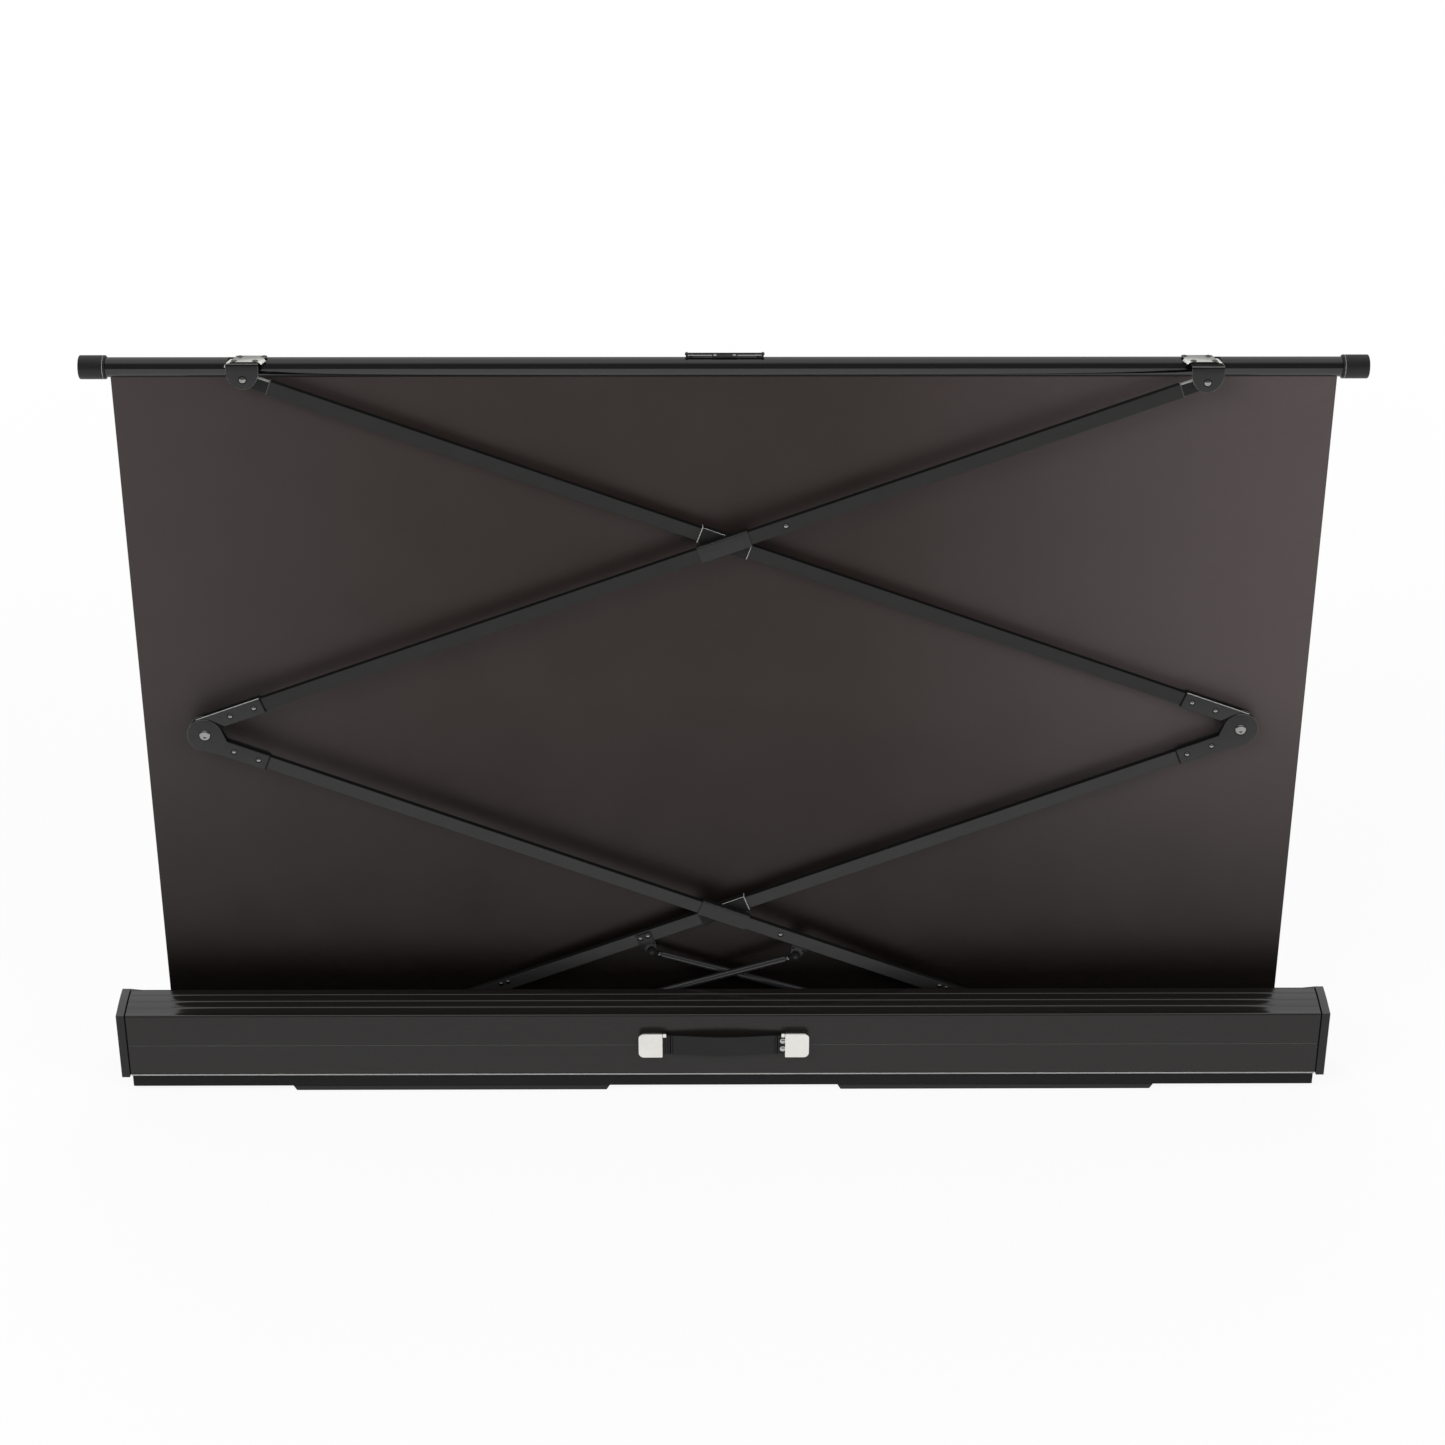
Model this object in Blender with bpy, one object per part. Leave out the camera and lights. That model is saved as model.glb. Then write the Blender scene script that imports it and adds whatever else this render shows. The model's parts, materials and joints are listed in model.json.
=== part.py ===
"""Portable projection screen that rises out of a floor case on crossed arms.

X runs along the case, -Y is the side with the lifting arms, +Y is the side that is watched,
+Z is up, and the feet stand on Z = 0. Cross-section sizes in Y are measured from the axis of
the top tube. The arms of one chain, called outer, lie further from the fabric than the arms
of the other, called inner. The model stands raised, and every moving piece hangs from an
empty on its joint's axis.
"""
from math import acos, atan2, cos, hypot, pi, radians, sin, sqrt

import bmesh
import bpy
from mathutils import Matrix, Vector

# Clearances
GAP = 0.0003                    # between faces that touch, and round a running pin
LOOSE_PIVOT = 0.0012            # extra bore of the one pivot that closes the two chains
JOIN = 0.002                    # how far a shape reaches into the one it is united with

# Screen fabric
FABRIC_WIDTH = 1.841
FABRIC_THICKNESS = 0.0007
FABRIC_Y = -0.0072
FABRIC_IN_SLOT = 0.0012

# Top tube
TUBE_RADIUS = 0.015
TUBE_WALL = 0.0018
TUBE_SLOT = 0.0016
TUBE_ABOVE_PIVOT = 0.0078
TUBE_PAST_FABRIC = 0.0465       # at each end, over the caps
CAP_RADIUS = 0.018
CAP_LENGTH = 0.040
CAP_END = 0.012

# Lifting arms: rectangular tubes
ARM_HEIGHT = 0.022
ARM_DEPTH = 0.010
ARM_WALL = 0.0015
UPPER_ARM = 1.646               # elbow to top pivot, along the arm
UPPER_ANGLE = radians(20.33)    # raised, above the horizontal
TOP_PIVOT_X = 0.719
BOTTOM_PIVOT_X = 0.590
BOTTOM_PIVOT_Z = 0.065
ELBOW_BELOW_UPPER = 0.017       # elbow pivot to the upper arm's centre line
ELBOW_ABOVE_LOWER = 0.011       # elbow pivot to the lower arm's centre line
INNER_LAYER_Y = -0.0272
OUTER_LAYER_Y = -0.0422
ARM_PAST_PIVOT = 0.014

# Elbow fittings
LOBE_RADIUS = 0.028
TONGUE_RADIUS = 0.026
CHEEK = 0.0023
SOCKET_START = 0.036            # from the elbow pivot, along the arm
SOCKET_LENGTH = 0.072
SOCKET_END_WALL = 0.006
SOCKET_HEIGHT = 0.0266
ELBOW_RIVETS = (0.0515, 0.092)
RIVET_RADIUS = 0.0042
RIVET_HEIGHT = 0.0009

# Pins
PIN_RADIUS = 0.005
PIN_HEAD_RADIUS = 0.0075
PIN_HEAD = 0.0016

# Sliding cross sleeves and their stops
SLEEVE_LENGTH = 0.082
SLEEVE_HEIGHT = 0.0272
SLEEVE_DEPTH = 0.0142
CROSS_PIN_RADIUS = 0.006
CROSS_PIN_STANDS_OUT = 0.0004
STOP_FROM_CROSS = 0.100
STOP_RADIUS = 0.0045
STOP_HEIGHT = 0.002

# Arm tips and top brackets
TIP_NECK = 0.040
TIP_INSERT = 0.030
TIP_HEIGHT = 0.019
TIP_DEPTH = 0.009
EAR_WIDTH = 0.050
EAR_BELOW_PIVOT = 0.016
EAR_TOE_RADIUS = 0.014
SADDLE_WIDTH = 0.062
SADDLE_INBOARD = 0.004
SADDLE_THICKNESS = 0.0025
SADDLE_PAST_CROWN = 0.002

# Gas springs
SPRING_DROP = 0.032             # arm's centre line to the spring's end
SPRING_ARM_X = 0.118            # raised, distance of the spring's upper end from the middle
SPRING_MOUNT_X = 0.490
SPRING_MOUNT_Z = 0.030
CYLINDER_RADIUS = 0.007
CYLINDER_LENGTH = 0.300
CYLINDER_END = 0.014
CYLINDER_CHAMFER = 0.001
ROD_RADIUS = 0.004
ROD_OVERLAP = 0.034
NECK_LENGTH = 0.031
NECK_HEIGHT = 0.012
NECK_Y = (-0.0045, 0.0009)
SPRING_EYE_RADIUS = 0.008
ROD_EYE_RADIUS = 0.007
ROD_EYE_DEPTH = 0.009
ROD_START = 0.0049              # inside the eye
MOUNT_PIN_RADIUS = 0.003
MOUNT_WALL = 0.002
MOUNT_LENGTH = 0.018
MOUNT_ABOVE_PIN = 0.007
HANGER_LENGTH = 0.026
HANGER_PLATE_Y = (0.0012, 0.005)
HANGER_BELOW_END = 0.009
HANGER_FRONT = 0.002
HANGER_WEB = 0.003

# Case
CASE_PAST_FABRIC = 0.0545       # at each end, up to the end cap
END_CAP = 0.015
END_CAP_PROUD = 0.0016
REAR_WALL_Y = -0.121
CREST_Y = -0.053
REAR_WALL_BOTTOM = 0.0353
REAR_WALL_TOP = 0.151
CREST_Z = 0.160
SHELL = 0.002
CREST_LIP = 0.018
FLANGE = 0.016
FRONT_FLANGE = 0.010
FRONT_WALL_INNER_Y = 0.030
FRONT_WALL_THICKNESS = 0.0025
FRONT_WALL_TOP = 0.107
BASE_FROM_END_CAP = 0.0025
BASE_RECESS = 0.008
BASE_BOTTOM = 0.0103
BASE_FLOOR = 0.003
BASE_WALL = 0.002

# Bottom pivot brackets
CLEVIS_LENGTH = 0.036
CLEVIS_WALL = 0.0025
CLEVIS_BASE = 0.003
CLEVIS_ABOVE_PIVOT = 0.014

# Fabric roller
ROLLER_Z = 0.060
ROLLER_RADIUS = 0.0135
ROLLER_WALL = 0.002
ROLL_RADIUS = 0.0150
ROLLER_PAST_FABRIC = 0.008
PLUG_INSERT = 0.015
PLUG_FLANGE = 0.002
AXLE_RADIUS = 0.004
ARBOR_LENGTH = 0.450
COIL_RADIUS = 0.009
COIL_THICKNESS = 0.004
COIL_LENGTH = 0.380
ROLLER_BRACKET = 0.006
ROLLER_BRACKET_FROM_END = 0.025
ROLLER_BRACKET_WIDTH = 0.026
ROLLER_BRACKET_TOP = 0.075

# Feet
FOOT_LENGTH = 0.523
FOOT_WIDTH = 0.105
FOOT_THICKNESS = 0.010
FOOT_BEVEL = 0.0055
FOOT_X = 0.4495
STUD_RADIUS = 0.006
STUD_HEAD_RADIUS = 0.011
STUD_HEAD = 0.003
STUD_HEAD_Z = 0.0018

# Carry strap
STRAP_SPAN = 0.200              # between its end caps
STRAP_CAP_LENGTH = 0.0395
STRAP_CAP_HEIGHT = 0.046
STRAP_CAP_DEPTH = 0.0117
STRAP_HEIGHT = 0.036
STRAP_THICKNESS = 0.0035
STRAP_FROM_WALL = 0.0055
STRAP_BOW = 0.006
STRAP_TUCK = 0.020
STRAP_Z = 0.0995

# Pull handle on the top tube
HANDLE_SPAN = 0.111
HANDLE_LUG = 0.003
HANDLE_WIDTH = 0.010
HANDLE_PLATE = 0.0025
HANDLE_LUG_HEIGHT = 0.0095
BAIL_RADIUS = 0.002
BAIL_REACH = 0.025
BAIL_BEND = 0.006
BAIL_LEG_X = 0.050
BAIL_ABOVE_PLATE = 0.0028
BAIL_PAST_LUG = 0.0012

ROUND = 32                      # sides of a pin or a small tube
WIDE_ROUND = 48                 # sides of the top tube
CROWN_STEPS = 6                 # flats across the case's domed top
BOW_STEPS = 16                  # flats along the bowed strap
BEND_STEPS = 6                  # flats in a bend of the handle's wire
SHARP_EDGE = radians(35)        # a steeper edge is shaded sharp
MARK_SIZE = 0.03                # of an empty, as drawn on screen

# Colours, roughness and metallic value of each finish
ANODISED = ((0.075, 0.072, 0.070), 0.42, 0.6)
PLASTIC = ((0.060, 0.058, 0.057), 0.45, 0.0)
ARM_GREY = ((0.045, 0.047, 0.048), 0.40, 0.6)
GLOSS_BLACK = ((0.010, 0.010, 0.010), 0.12, 0.2)
BLACK = ((0.015, 0.015, 0.015), 0.45, 0.0)
STEEL = ((0.600, 0.600, 0.590), 0.25, 1.0)
CHROME = ((0.800, 0.800, 0.760), 0.12, 1.0)
CLOTH = ((0.055, 0.048, 0.048), 0.85, 0.0)

# Sizes that follow
SPAN_OVER_CAPS = FABRIC_WIDTH + 2 * TUBE_PAST_FABRIC
CASE_LENGTH = FABRIC_WIDTH + 2 * CASE_PAST_FABRIC
BASE_LENGTH = CASE_LENGTH - 2 * BASE_FROM_END_CAP
ROLLER_LENGTH = FABRIC_WIDTH + 2 * ROLLER_PAST_FABRIC
ROLLER_BRACKET_X = CASE_LENGTH / 2 - ROLLER_BRACKET_FROM_END
LOWER_ARM = UPPER_ARM - (TOP_PIVOT_X - BOTTOM_PIVOT_X)
REAREST = REAR_WALL_Y - STRAP_FROM_WALL - STRAP_THICKNESS - STRAP_BOW
FRONTMOST = FRONT_WALL_INNER_Y + FRONT_WALL_THICKNESS + END_CAP_PROUD
CENTRE_SHIFT = -(REAREST + FRONTMOST) / 2
FLOOR_Z = BASE_BOTTOM + BASE_FLOOR + GAP
ROLLER_Y = FABRIC_Y + FABRIC_THICKNESS / 2 + GAP + ROLL_RADIUS
STRAP_WALL_Y = REAR_WALL_Y - STRAP_FROM_WALL


def closing_angle():
    """Angle of the lower arm that brings the top pivot over TOP_PIVOT_X when raised."""
    reach = (UPPER_ARM * cos(UPPER_ANGLE) - ELBOW_BELOW_UPPER * sin(UPPER_ANGLE)
             - (TOP_PIVOT_X - BOTTOM_PIVOT_X))
    length = hypot(LOWER_ARM, ELBOW_ABOVE_LOWER)
    return acos(reach / length) - atan2(ELBOW_ABOVE_LOWER, LOWER_ARM)


LOWER_ANGLE = closing_angle()
ELBOW_Z = BOTTOM_PIVOT_Z + LOWER_ARM * sin(LOWER_ANGLE) + ELBOW_ABOVE_LOWER * cos(LOWER_ANGLE)
TOP_PIVOT_Z = ELBOW_Z + UPPER_ARM * sin(UPPER_ANGLE) + ELBOW_BELOW_UPPER * cos(UPPER_ANGLE)
TUBE_Z = TOP_PIVOT_Z + TUBE_ABOVE_PIVOT


def clear_scene():
    for item in list(bpy.data.objects):
        bpy.data.objects.remove(item, do_unlink=True)


def finish(name, look):
    colour, roughness, metallic = look
    material = bpy.data.materials.new(name)
    material.use_nodes = True
    shader = material.node_tree.nodes["Principled BSDF"]
    shader.inputs["Base Color"].default_value = (*colour, 1.0)
    shader.inputs["Roughness"].default_value = roughness
    shader.inputs["Metallic"].default_value = metallic
    material.diffuse_color = (*colour, 1.0)
    return material


def frame(name, parent, place, tilt=0.0):
    """An empty on a joint's axis; tilt turns it about Y, so its X runs along a sloping arm."""
    empty = bpy.data.objects.new(name, None)
    empty.empty_display_size = MARK_SIZE
    empty.parent = parent
    empty.location = place
    empty.rotation_euler = (0.0, tilt, 0.0)
    bpy.context.scene.collection.objects.link(empty)
    return empty


def link(name, mesh, parent):
    item = bpy.data.objects.new(name, mesh)
    item.parent = parent
    bpy.context.scene.collection.objects.link(item)
    return item


def piece(name, mesh, look, parent, add=(), cut=()):
    """A named sub-part; the meshes in add are united with it and those in cut removed."""
    item = link(name, mesh, parent)
    mesh.materials.append(finish(name, look))
    for operation, tools in (("UNION", add), ("DIFFERENCE", cut)):
        for number, tool in enumerate(tools):
            guide = link(f"{name}_{operation.lower()}_{number}", tool, parent)
            guide.hide_render = True
            guide.display_type = "WIRE"
            modifier = item.modifiers.new(operation.title(), "BOOLEAN")
            modifier.operation = operation
            modifier.solver = "EXACT"
            modifier.object = guide
    mesh.shade_smooth()
    mesh.set_sharp_from_angle(angle=SHARP_EDGE)
    return item


def to_mesh(bm):
    bmesh.ops.recalc_face_normals(bm, faces=bm.faces[:])
    mesh = bpy.data.meshes.new("shape")
    bm.to_mesh(mesh)
    bm.free()
    return mesh


def on_axis(axis, along, first, second):
    """A point from its place along an axis and its two other coordinates, in X, Y, Z order."""
    point = [first, second]
    point.insert("XYZ".index(axis), along)
    return Vector(point)


def prism(axis, outline, start, end):
    """An outline in the plane across an axis, pushed along that axis from start to end."""
    bm = bmesh.new()
    near = [bm.verts.new(on_axis(axis, start, *point)) for point in outline]
    far = [bm.verts.new(on_axis(axis, end, *point)) for point in outline]
    bm.faces.new(near)
    bm.faces.new(far)
    for i in range(len(outline)):
        j = (i + 1) % len(outline)
        bm.faces.new((near[i], near[j], far[j], far[i]))
    return to_mesh(bm)


def hollow_prism(axis, outer, inner, start, end):
    """As prism, with a second outline of as many points as its bore."""
    bm = bmesh.new()
    rings = [[bm.verts.new(on_axis(axis, along, *point)) for point in outline]
             for outline, along in ((outer, start), (outer, end), (inner, end), (inner, start))]
    for k in range(len(rings)):
        this, following = rings[k], rings[(k + 1) % len(rings)]
        for i in range(len(outer)):
            j = (i + 1) % len(outer)
            bm.faces.new((this[i], this[j], following[j], following[i]))
    return to_mesh(bm)


def turned(axis, profile, centre=(0.0, 0.0), sides=ROUND):
    """A solid turned about an axis from (radius, place along the axis) pairs."""
    bm = bmesh.new()
    rings = []
    for radius, along in profile:
        rings.append([bm.verts.new(on_axis(axis, along, *point))
                      for point in circle(centre, radius, sides)])
    for this, following in zip(rings, rings[1:]):
        for i in range(sides):
            j = (i + 1) % sides
            bm.faces.new((this[i], this[j], following[j], following[i]))
    bm.faces.new(rings[0])
    bm.faces.new(rings[-1])
    return to_mesh(bm)


def rod(axis, radius, start, end, centre=(0.0, 0.0), sides=ROUND):
    return turned(axis, ((radius, start), (radius, end)), centre, sides)


def pipe(radius, bore, start, end):
    """A round tube along X about its frame's axis."""
    centre = (0.0, 0.0)
    return hollow_prism("X", circle(centre, radius), circle(centre, bore), start, end)


def box(x, y, z):
    return prism("Z", rectangle(x, y), *z)


def rectangle(first, second):
    return [(first[0], second[0]), (first[1], second[0]), (first[1], second[1]), (first[0], second[1])]


def around(middle, size):
    return middle - size / 2, middle + size / 2


def circle(centre, radius, sides=ROUND):
    return arc(centre, radius, 0.0, 2 * pi, sides)[:-1]


def arc(centre, radius, start, end, steps):
    return [(centre[0] + radius * cos(start + (end - start) * i / steps),
             centre[1] + radius * sin(start + (end - start) * i / steps)) for i in range(steps + 1)]


def wrap(points):
    """The shortest outline round a set of points, counter-clockwise."""
    points = sorted(set((round(a, 7), round(b, 7)) for a, b in points))

    def half(run):
        chain = []
        for p in run:
            while len(chain) > 1 and ((chain[-1][0] - chain[-2][0]) * (p[1] - chain[-2][1])
                                      - (chain[-1][1] - chain[-2][1]) * (p[0] - chain[-2][0])) <= 0:
                chain.pop()
            chain.append(p)
        return chain[:-1]

    return half(points) + half(points[::-1])


def mirrored(side, interval):
    """An interval of local X, turned over for the chain that runs the other way."""
    return tuple(sorted(side * x for x in interval))


def arm_tube(side, start, end, height):
    middle = rectangle(around(0.0, ARM_DEPTH), around(height, ARM_HEIGHT))
    bore = rectangle(around(0.0, ARM_DEPTH - 2 * ARM_WALL), around(height, ARM_HEIGHT - 2 * ARM_WALL))
    return hollow_prism("X", middle, bore, *mirrored(side, (start, end)))


def arm_pocket(side, start, end, height):
    """The clearance space of an arm, for the fittings that it passes through."""
    return box(mirrored(side, (start, end)), around(0.0, ARM_DEPTH + 2 * GAP),
               around(height, ARM_HEIGHT + 2 * GAP))


def rivets(side, places, height, face):
    return [rod("Y", RIVET_RADIUS, face + GAP, face - RIVET_HEIGHT, (side * x, height), ROUND // 2)
            for x in places]


def through_pin(front, back):
    """A headed pin along Y through faces at front and back."""
    near = front - GAP
    far = back + GAP
    return turned("Y", ((PIN_HEAD_RADIUS - PIN_HEAD, near - PIN_HEAD),
                        (PIN_HEAD_RADIUS, near - PIN_HEAD / 2),
                        (PIN_HEAD_RADIUS, near), (PIN_RADIUS, near), (PIN_RADIUS, far),
                        (PIN_HEAD_RADIUS, far), (PIN_HEAD_RADIUS, far + PIN_HEAD)))


def pin_hole(height=0.0, x=0.0, extra=GAP, radius=PIN_RADIUS):
    reach = ARM_DEPTH + CLEVIS_WALL * 2
    return rod("Y", radius + extra, -reach, reach, (x, height))


def crown(offset=0.0):
    """The case's domed top in YZ, from the rear wall up to the crest, moved out by offset."""
    run = CREST_Y - REAR_WALL_Y
    rise = CREST_Z - REAR_WALL_TOP
    parts = [step / CROWN_STEPS for step in range(CROWN_STEPS + 1)]
    return [(REAR_WALL_Y + run * t, REAR_WALL_TOP + rise * sin(pi / 2 * t) + offset) for t in parts]


def rear_cover(case):
    outer = [(REAR_WALL_Y + FLANGE, REAR_WALL_BOTTOM), (REAR_WALL_Y, REAR_WALL_BOTTOM)]
    outer += crown() + [(CREST_Y, CREST_Z - CREST_LIP)]
    inner = [(y, z - SHELL) for y, z in crown()]
    inner[0] = (REAR_WALL_Y + SHELL, inner[0][1])
    inner[-1] = (CREST_Y - SHELL, inner[-1][1])
    inner = [(REAR_WALL_Y + FLANGE, REAR_WALL_BOTTOM + SHELL),
             (REAR_WALL_Y + SHELL, REAR_WALL_BOTTOM + SHELL)] + inner
    inner += [(CREST_Y - SHELL, CREST_Z - CREST_LIP)]
    half = CASE_LENGTH / 2 - GAP
    piece("rear_cover", prism("X", outer + inner[::-1], -half, half), ANODISED, case)


def front_wall(case):
    back = FRONT_WALL_INNER_Y
    face = back + FRONT_WALL_THICKNESS
    outline = [(face, REAR_WALL_BOTTOM), (face, FRONT_WALL_TOP), (back, FRONT_WALL_TOP),
               (back, REAR_WALL_BOTTOM + SHELL), (face - FRONT_FLANGE, REAR_WALL_BOTTOM + SHELL),
               (face - FRONT_FLANGE, REAR_WALL_BOTTOM)]
    half = CASE_LENGTH / 2 - GAP
    piece("front_wall", prism("X", outline, -half, half), ANODISED, case)


def base_rail(case):
    rear = REAR_WALL_Y + BASE_RECESS
    front = FRONT_WALL_INNER_Y + FRONT_WALL_THICKNESS - BASE_RECESS
    top = REAR_WALL_BOTTOM - GAP
    floor = BASE_BOTTOM + BASE_FLOOR
    outline = [(rear, BASE_BOTTOM), (front, BASE_BOTTOM), (front, top), (front - BASE_WALL, top),
               (front - BASE_WALL, floor), (rear + BASE_WALL, floor), (rear + BASE_WALL, top), (rear, top)]
    head = STUD_HEAD_Z + STUD_HEAD
    profile = ((STUD_HEAD_RADIUS, STUD_HEAD_Z), (STUD_HEAD_RADIUS, head), (STUD_RADIUS, head),
               (STUD_RADIUS, BASE_BOTTOM + BASE_FLOOR / 2))
    studs = [turned("Z", profile, (x, foot_y())) for x in (-FOOT_X, FOOT_X)]
    piece("base_rail", prism("X", outline, -BASE_LENGTH / 2, BASE_LENGTH / 2), BLACK, case, add=studs)


def foot_y():
    """The feet lie with their rear edge flush with the base rail's rear wall."""
    return REAR_WALL_Y + BASE_RECESS + FOOT_WIDTH / 2


def end_caps(case):
    face = FRONT_WALL_INNER_Y + FRONT_WALL_THICKNESS + END_CAP_PROUD
    low = REAR_WALL_BOTTOM - END_CAP_PROUD
    top = crown(END_CAP_PROUD)
    top[0] = (REAR_WALL_Y - END_CAP_PROUD, top[0][1])
    outline = [(REAR_WALL_Y - END_CAP_PROUD, low)] + top
    outline += [(face, FRONT_WALL_TOP + END_CAP_PROUD), (face, low)]
    for side, word in ((-1, "left"), (1, "right")):
        span = mirrored(side, (CASE_LENGTH / 2, CASE_LENGTH / 2 + END_CAP))
        piece(f"end_cap_{word}", prism("X", outline, *span), PLASTIC, case)


def carry_strap(case):
    half = STRAP_SPAN / 2
    for side, word in ((-1, "left"), (1, "right")):
        span = mirrored(side, (half, half + STRAP_CAP_LENGTH))
        pocket = box(mirrored(side, (half - GAP, half + STRAP_TUCK + GAP)),
                     (STRAP_WALL_Y - STRAP_THICKNESS - GAP, STRAP_WALL_Y + GAP),
                     around(STRAP_Z, STRAP_HEIGHT + 2 * GAP))
        body = box(span, (REAR_WALL_Y - GAP - STRAP_CAP_DEPTH, REAR_WALL_Y - GAP),
                   around(STRAP_Z, STRAP_CAP_HEIGHT))
        piece(f"strap_cap_{word}", body, CHROME, case, cut=[pocket])
    parts = [step / BOW_STEPS for step in range(BOW_STEPS + 1)]
    bow = [(half * (2 * t - 1), STRAP_BOW * sin(pi * t) ** 2) for t in parts]
    face = [(x, STRAP_WALL_Y - y) for x, y in bow]
    face = [(-half - STRAP_TUCK, STRAP_WALL_Y)] + face + [(half + STRAP_TUCK, STRAP_WALL_Y)]
    back = [(x, y - STRAP_THICKNESS) for x, y in face]
    piece("carry_strap", prism("Z", face + back[::-1], *around(STRAP_Z, STRAP_HEIGHT)), BLACK, case)


def roller(case):
    axle = (ROLLER_Y, ROLLER_Z)
    for side, word in ((-1, "left"), (1, "right")):
        span = mirrored(side, (ROLLER_BRACKET_X, ROLLER_BRACKET_X + ROLLER_BRACKET))
        plate = box(span, around(ROLLER_Y, ROLLER_BRACKET_WIDTH), (FLOOR_Z, ROLLER_BRACKET_TOP))
        hole = rod("X", AXLE_RADIUS + GAP, span[0] - GAP, span[1] + GAP, axle)
        piece(f"roller_bracket_{word}", plate, BLACK, case, cut=[hole])
    arbor = (-ROLLER_BRACKET_X - ROLLER_BRACKET, -ROLLER_BRACKET_X + ARBOR_LENGTH)
    piece("spring_arbor", rod("X", AXLE_RADIUS, *arbor, axle), STEEL, case)

    spin = frame("roller_spin_axis", case, (0.0, ROLLER_Y, ROLLER_Z))
    half = ROLLER_LENGTH / 2
    bore = ROLLER_RADIUS - ROLLER_WALL
    piece("roller_tube", pipe(ROLLER_RADIUS, bore, -half, half), STEEL, spin)
    edge = FABRIC_WIDTH / 2
    piece("fabric_roll", pipe(ROLL_RADIUS, ROLLER_RADIUS + GAP, -edge, edge), CLOTH, spin)
    profile = ((bore - GAP, -(half - PLUG_INSERT)), (bore - GAP, -half - GAP),
               (ROLLER_RADIUS, -half - GAP), (ROLLER_RADIUS, -half - GAP - PLUG_FLANGE))
    hole = rod("X", AXLE_RADIUS + GAP, -half - PLUG_INSERT, PLUG_INSERT - half + GAP)
    piece("roller_plug_left", turned("X", profile), PLASTIC, spin, cut=[hole])
    profile = ((bore - GAP, half - PLUG_INSERT), (bore - GAP, half + GAP),
               (ROLLER_RADIUS, half + GAP), (ROLLER_RADIUS, half + GAP + PLUG_FLANGE),
               (AXLE_RADIUS, half + GAP + PLUG_FLANGE), (AXLE_RADIUS, ROLLER_BRACKET_X + ROLLER_BRACKET))
    piece("roller_plug_right", turned("X", profile), PLASTIC, spin)
    start = PLUG_INSERT - half + GAP
    coil = pipe(COIL_RADIUS, COIL_RADIUS - COIL_THICKNESS, start, start + COIL_LENGTH)
    piece("roller_spring", coil, STEEL, spin)


def fabric(case):
    under = sqrt(TUBE_RADIUS ** 2 - FABRIC_Y ** 2)
    piece("screen_fabric", box(around(0.0, FABRIC_WIDTH), around(FABRIC_Y, FABRIC_THICKNESS),
                               (ROLLER_Z, TUBE_Z - under + FABRIC_IN_SLOT)), CLOTH, case)


def pivot_brackets(case, side, word, layer):
    """The bottom pivot's clevis and pin, and the gas spring's clevis, bolted to the case's floor."""
    inside = ARM_DEPTH / 2 + GAP
    outline = cheeks(inside, CLEVIS_WALL, FLOOR_Z, CLEVIS_BASE, BOTTOM_PIVOT_Z + CLEVIS_ABOVE_PIVOT, layer)
    x = side * BOTTOM_PIVOT_X
    hole = rod("Y", PIN_RADIUS + GAP, layer - ARM_DEPTH, layer + ARM_DEPTH, (x, BOTTOM_PIVOT_Z))
    piece(f"pivot_bracket_{word}", prism("X", outline, *around(x, CLEVIS_LENGTH)), STEEL, case, cut=[hole])
    pin = through_pin(-inside - CLEVIS_WALL, inside + CLEVIS_WALL)
    pin.transform(Matrix.Translation((x, layer, BOTTOM_PIVOT_Z)))
    piece(f"pivot_pin_{word}", pin, STEEL, case)

    inside = ROD_EYE_DEPTH / 2 + GAP
    outline = cheeks(inside, MOUNT_WALL, FLOOR_Z, MOUNT_WALL, SPRING_MOUNT_Z + MOUNT_ABOVE_PIN, layer)
    x = -side * SPRING_MOUNT_X
    pin = rod("Y", MOUNT_PIN_RADIUS, layer - inside - MOUNT_WALL / 2, layer + inside + MOUNT_WALL / 2,
              (x, SPRING_MOUNT_Z))
    piece(f"spring_mount_{word}", prism("X", outline, *around(x, MOUNT_LENGTH)), STEEL, case, add=[pin])


def cheeks(inside, wall, bottom, base, top, middle):
    """A U section in YZ that stands open upwards."""
    outside = inside + wall
    points = [(-outside, bottom), (outside, bottom), (outside, top), (inside, top),
              (inside, bottom + base), (-inside, bottom + base), (-inside, top), (-outside, top)]
    return [(middle + y, z) for y, z in points]


def lower_arm(case, side, word, layer):
    """Lower arm, elbow fork and pin, and the gas spring's hanger; returns the arm's frame."""
    place = (side * BOTTOM_PIVOT_X, layer, BOTTOM_PIVOT_Z)
    arm = frame(f"fold_axis_{word}", case, place, side * LOWER_ANGLE)
    end = LOWER_ARM - SOCKET_START - SOCKET_END_WALL - GAP
    stop = stop_screw(-side * (BOTTOM_PIVOT_X / cos(LOWER_ANGLE) - STOP_FROM_CROSS), 0.0)
    piece(f"lower_arm_{word}", arm_tube(-side, -ARM_PAST_PIVOT, end, 0.0), ARM_GREY, arm,
          add=[stop] if side > 0 else [], cut=[pin_hole()])
    fork(arm, side, word)
    elbow = through_pin(-ARM_DEPTH / 2 - GAP - CHEEK, ARM_DEPTH / 2 + GAP + CHEEK)
    elbow.transform(Matrix.Translation((-side * LOWER_ARM, 0.0, ELBOW_ABOVE_LOWER)))
    piece(f"elbow_pin_{word}", elbow, STEEL, arm)
    hanger(arm, side, word)
    return arm


def stop_screw(x, height):
    face = -ARM_DEPTH / 2
    return rod("Y", STOP_RADIUS, face + ARM_WALL / 2, face - STOP_HEIGHT, (x, height), ROUND // 2)


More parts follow.
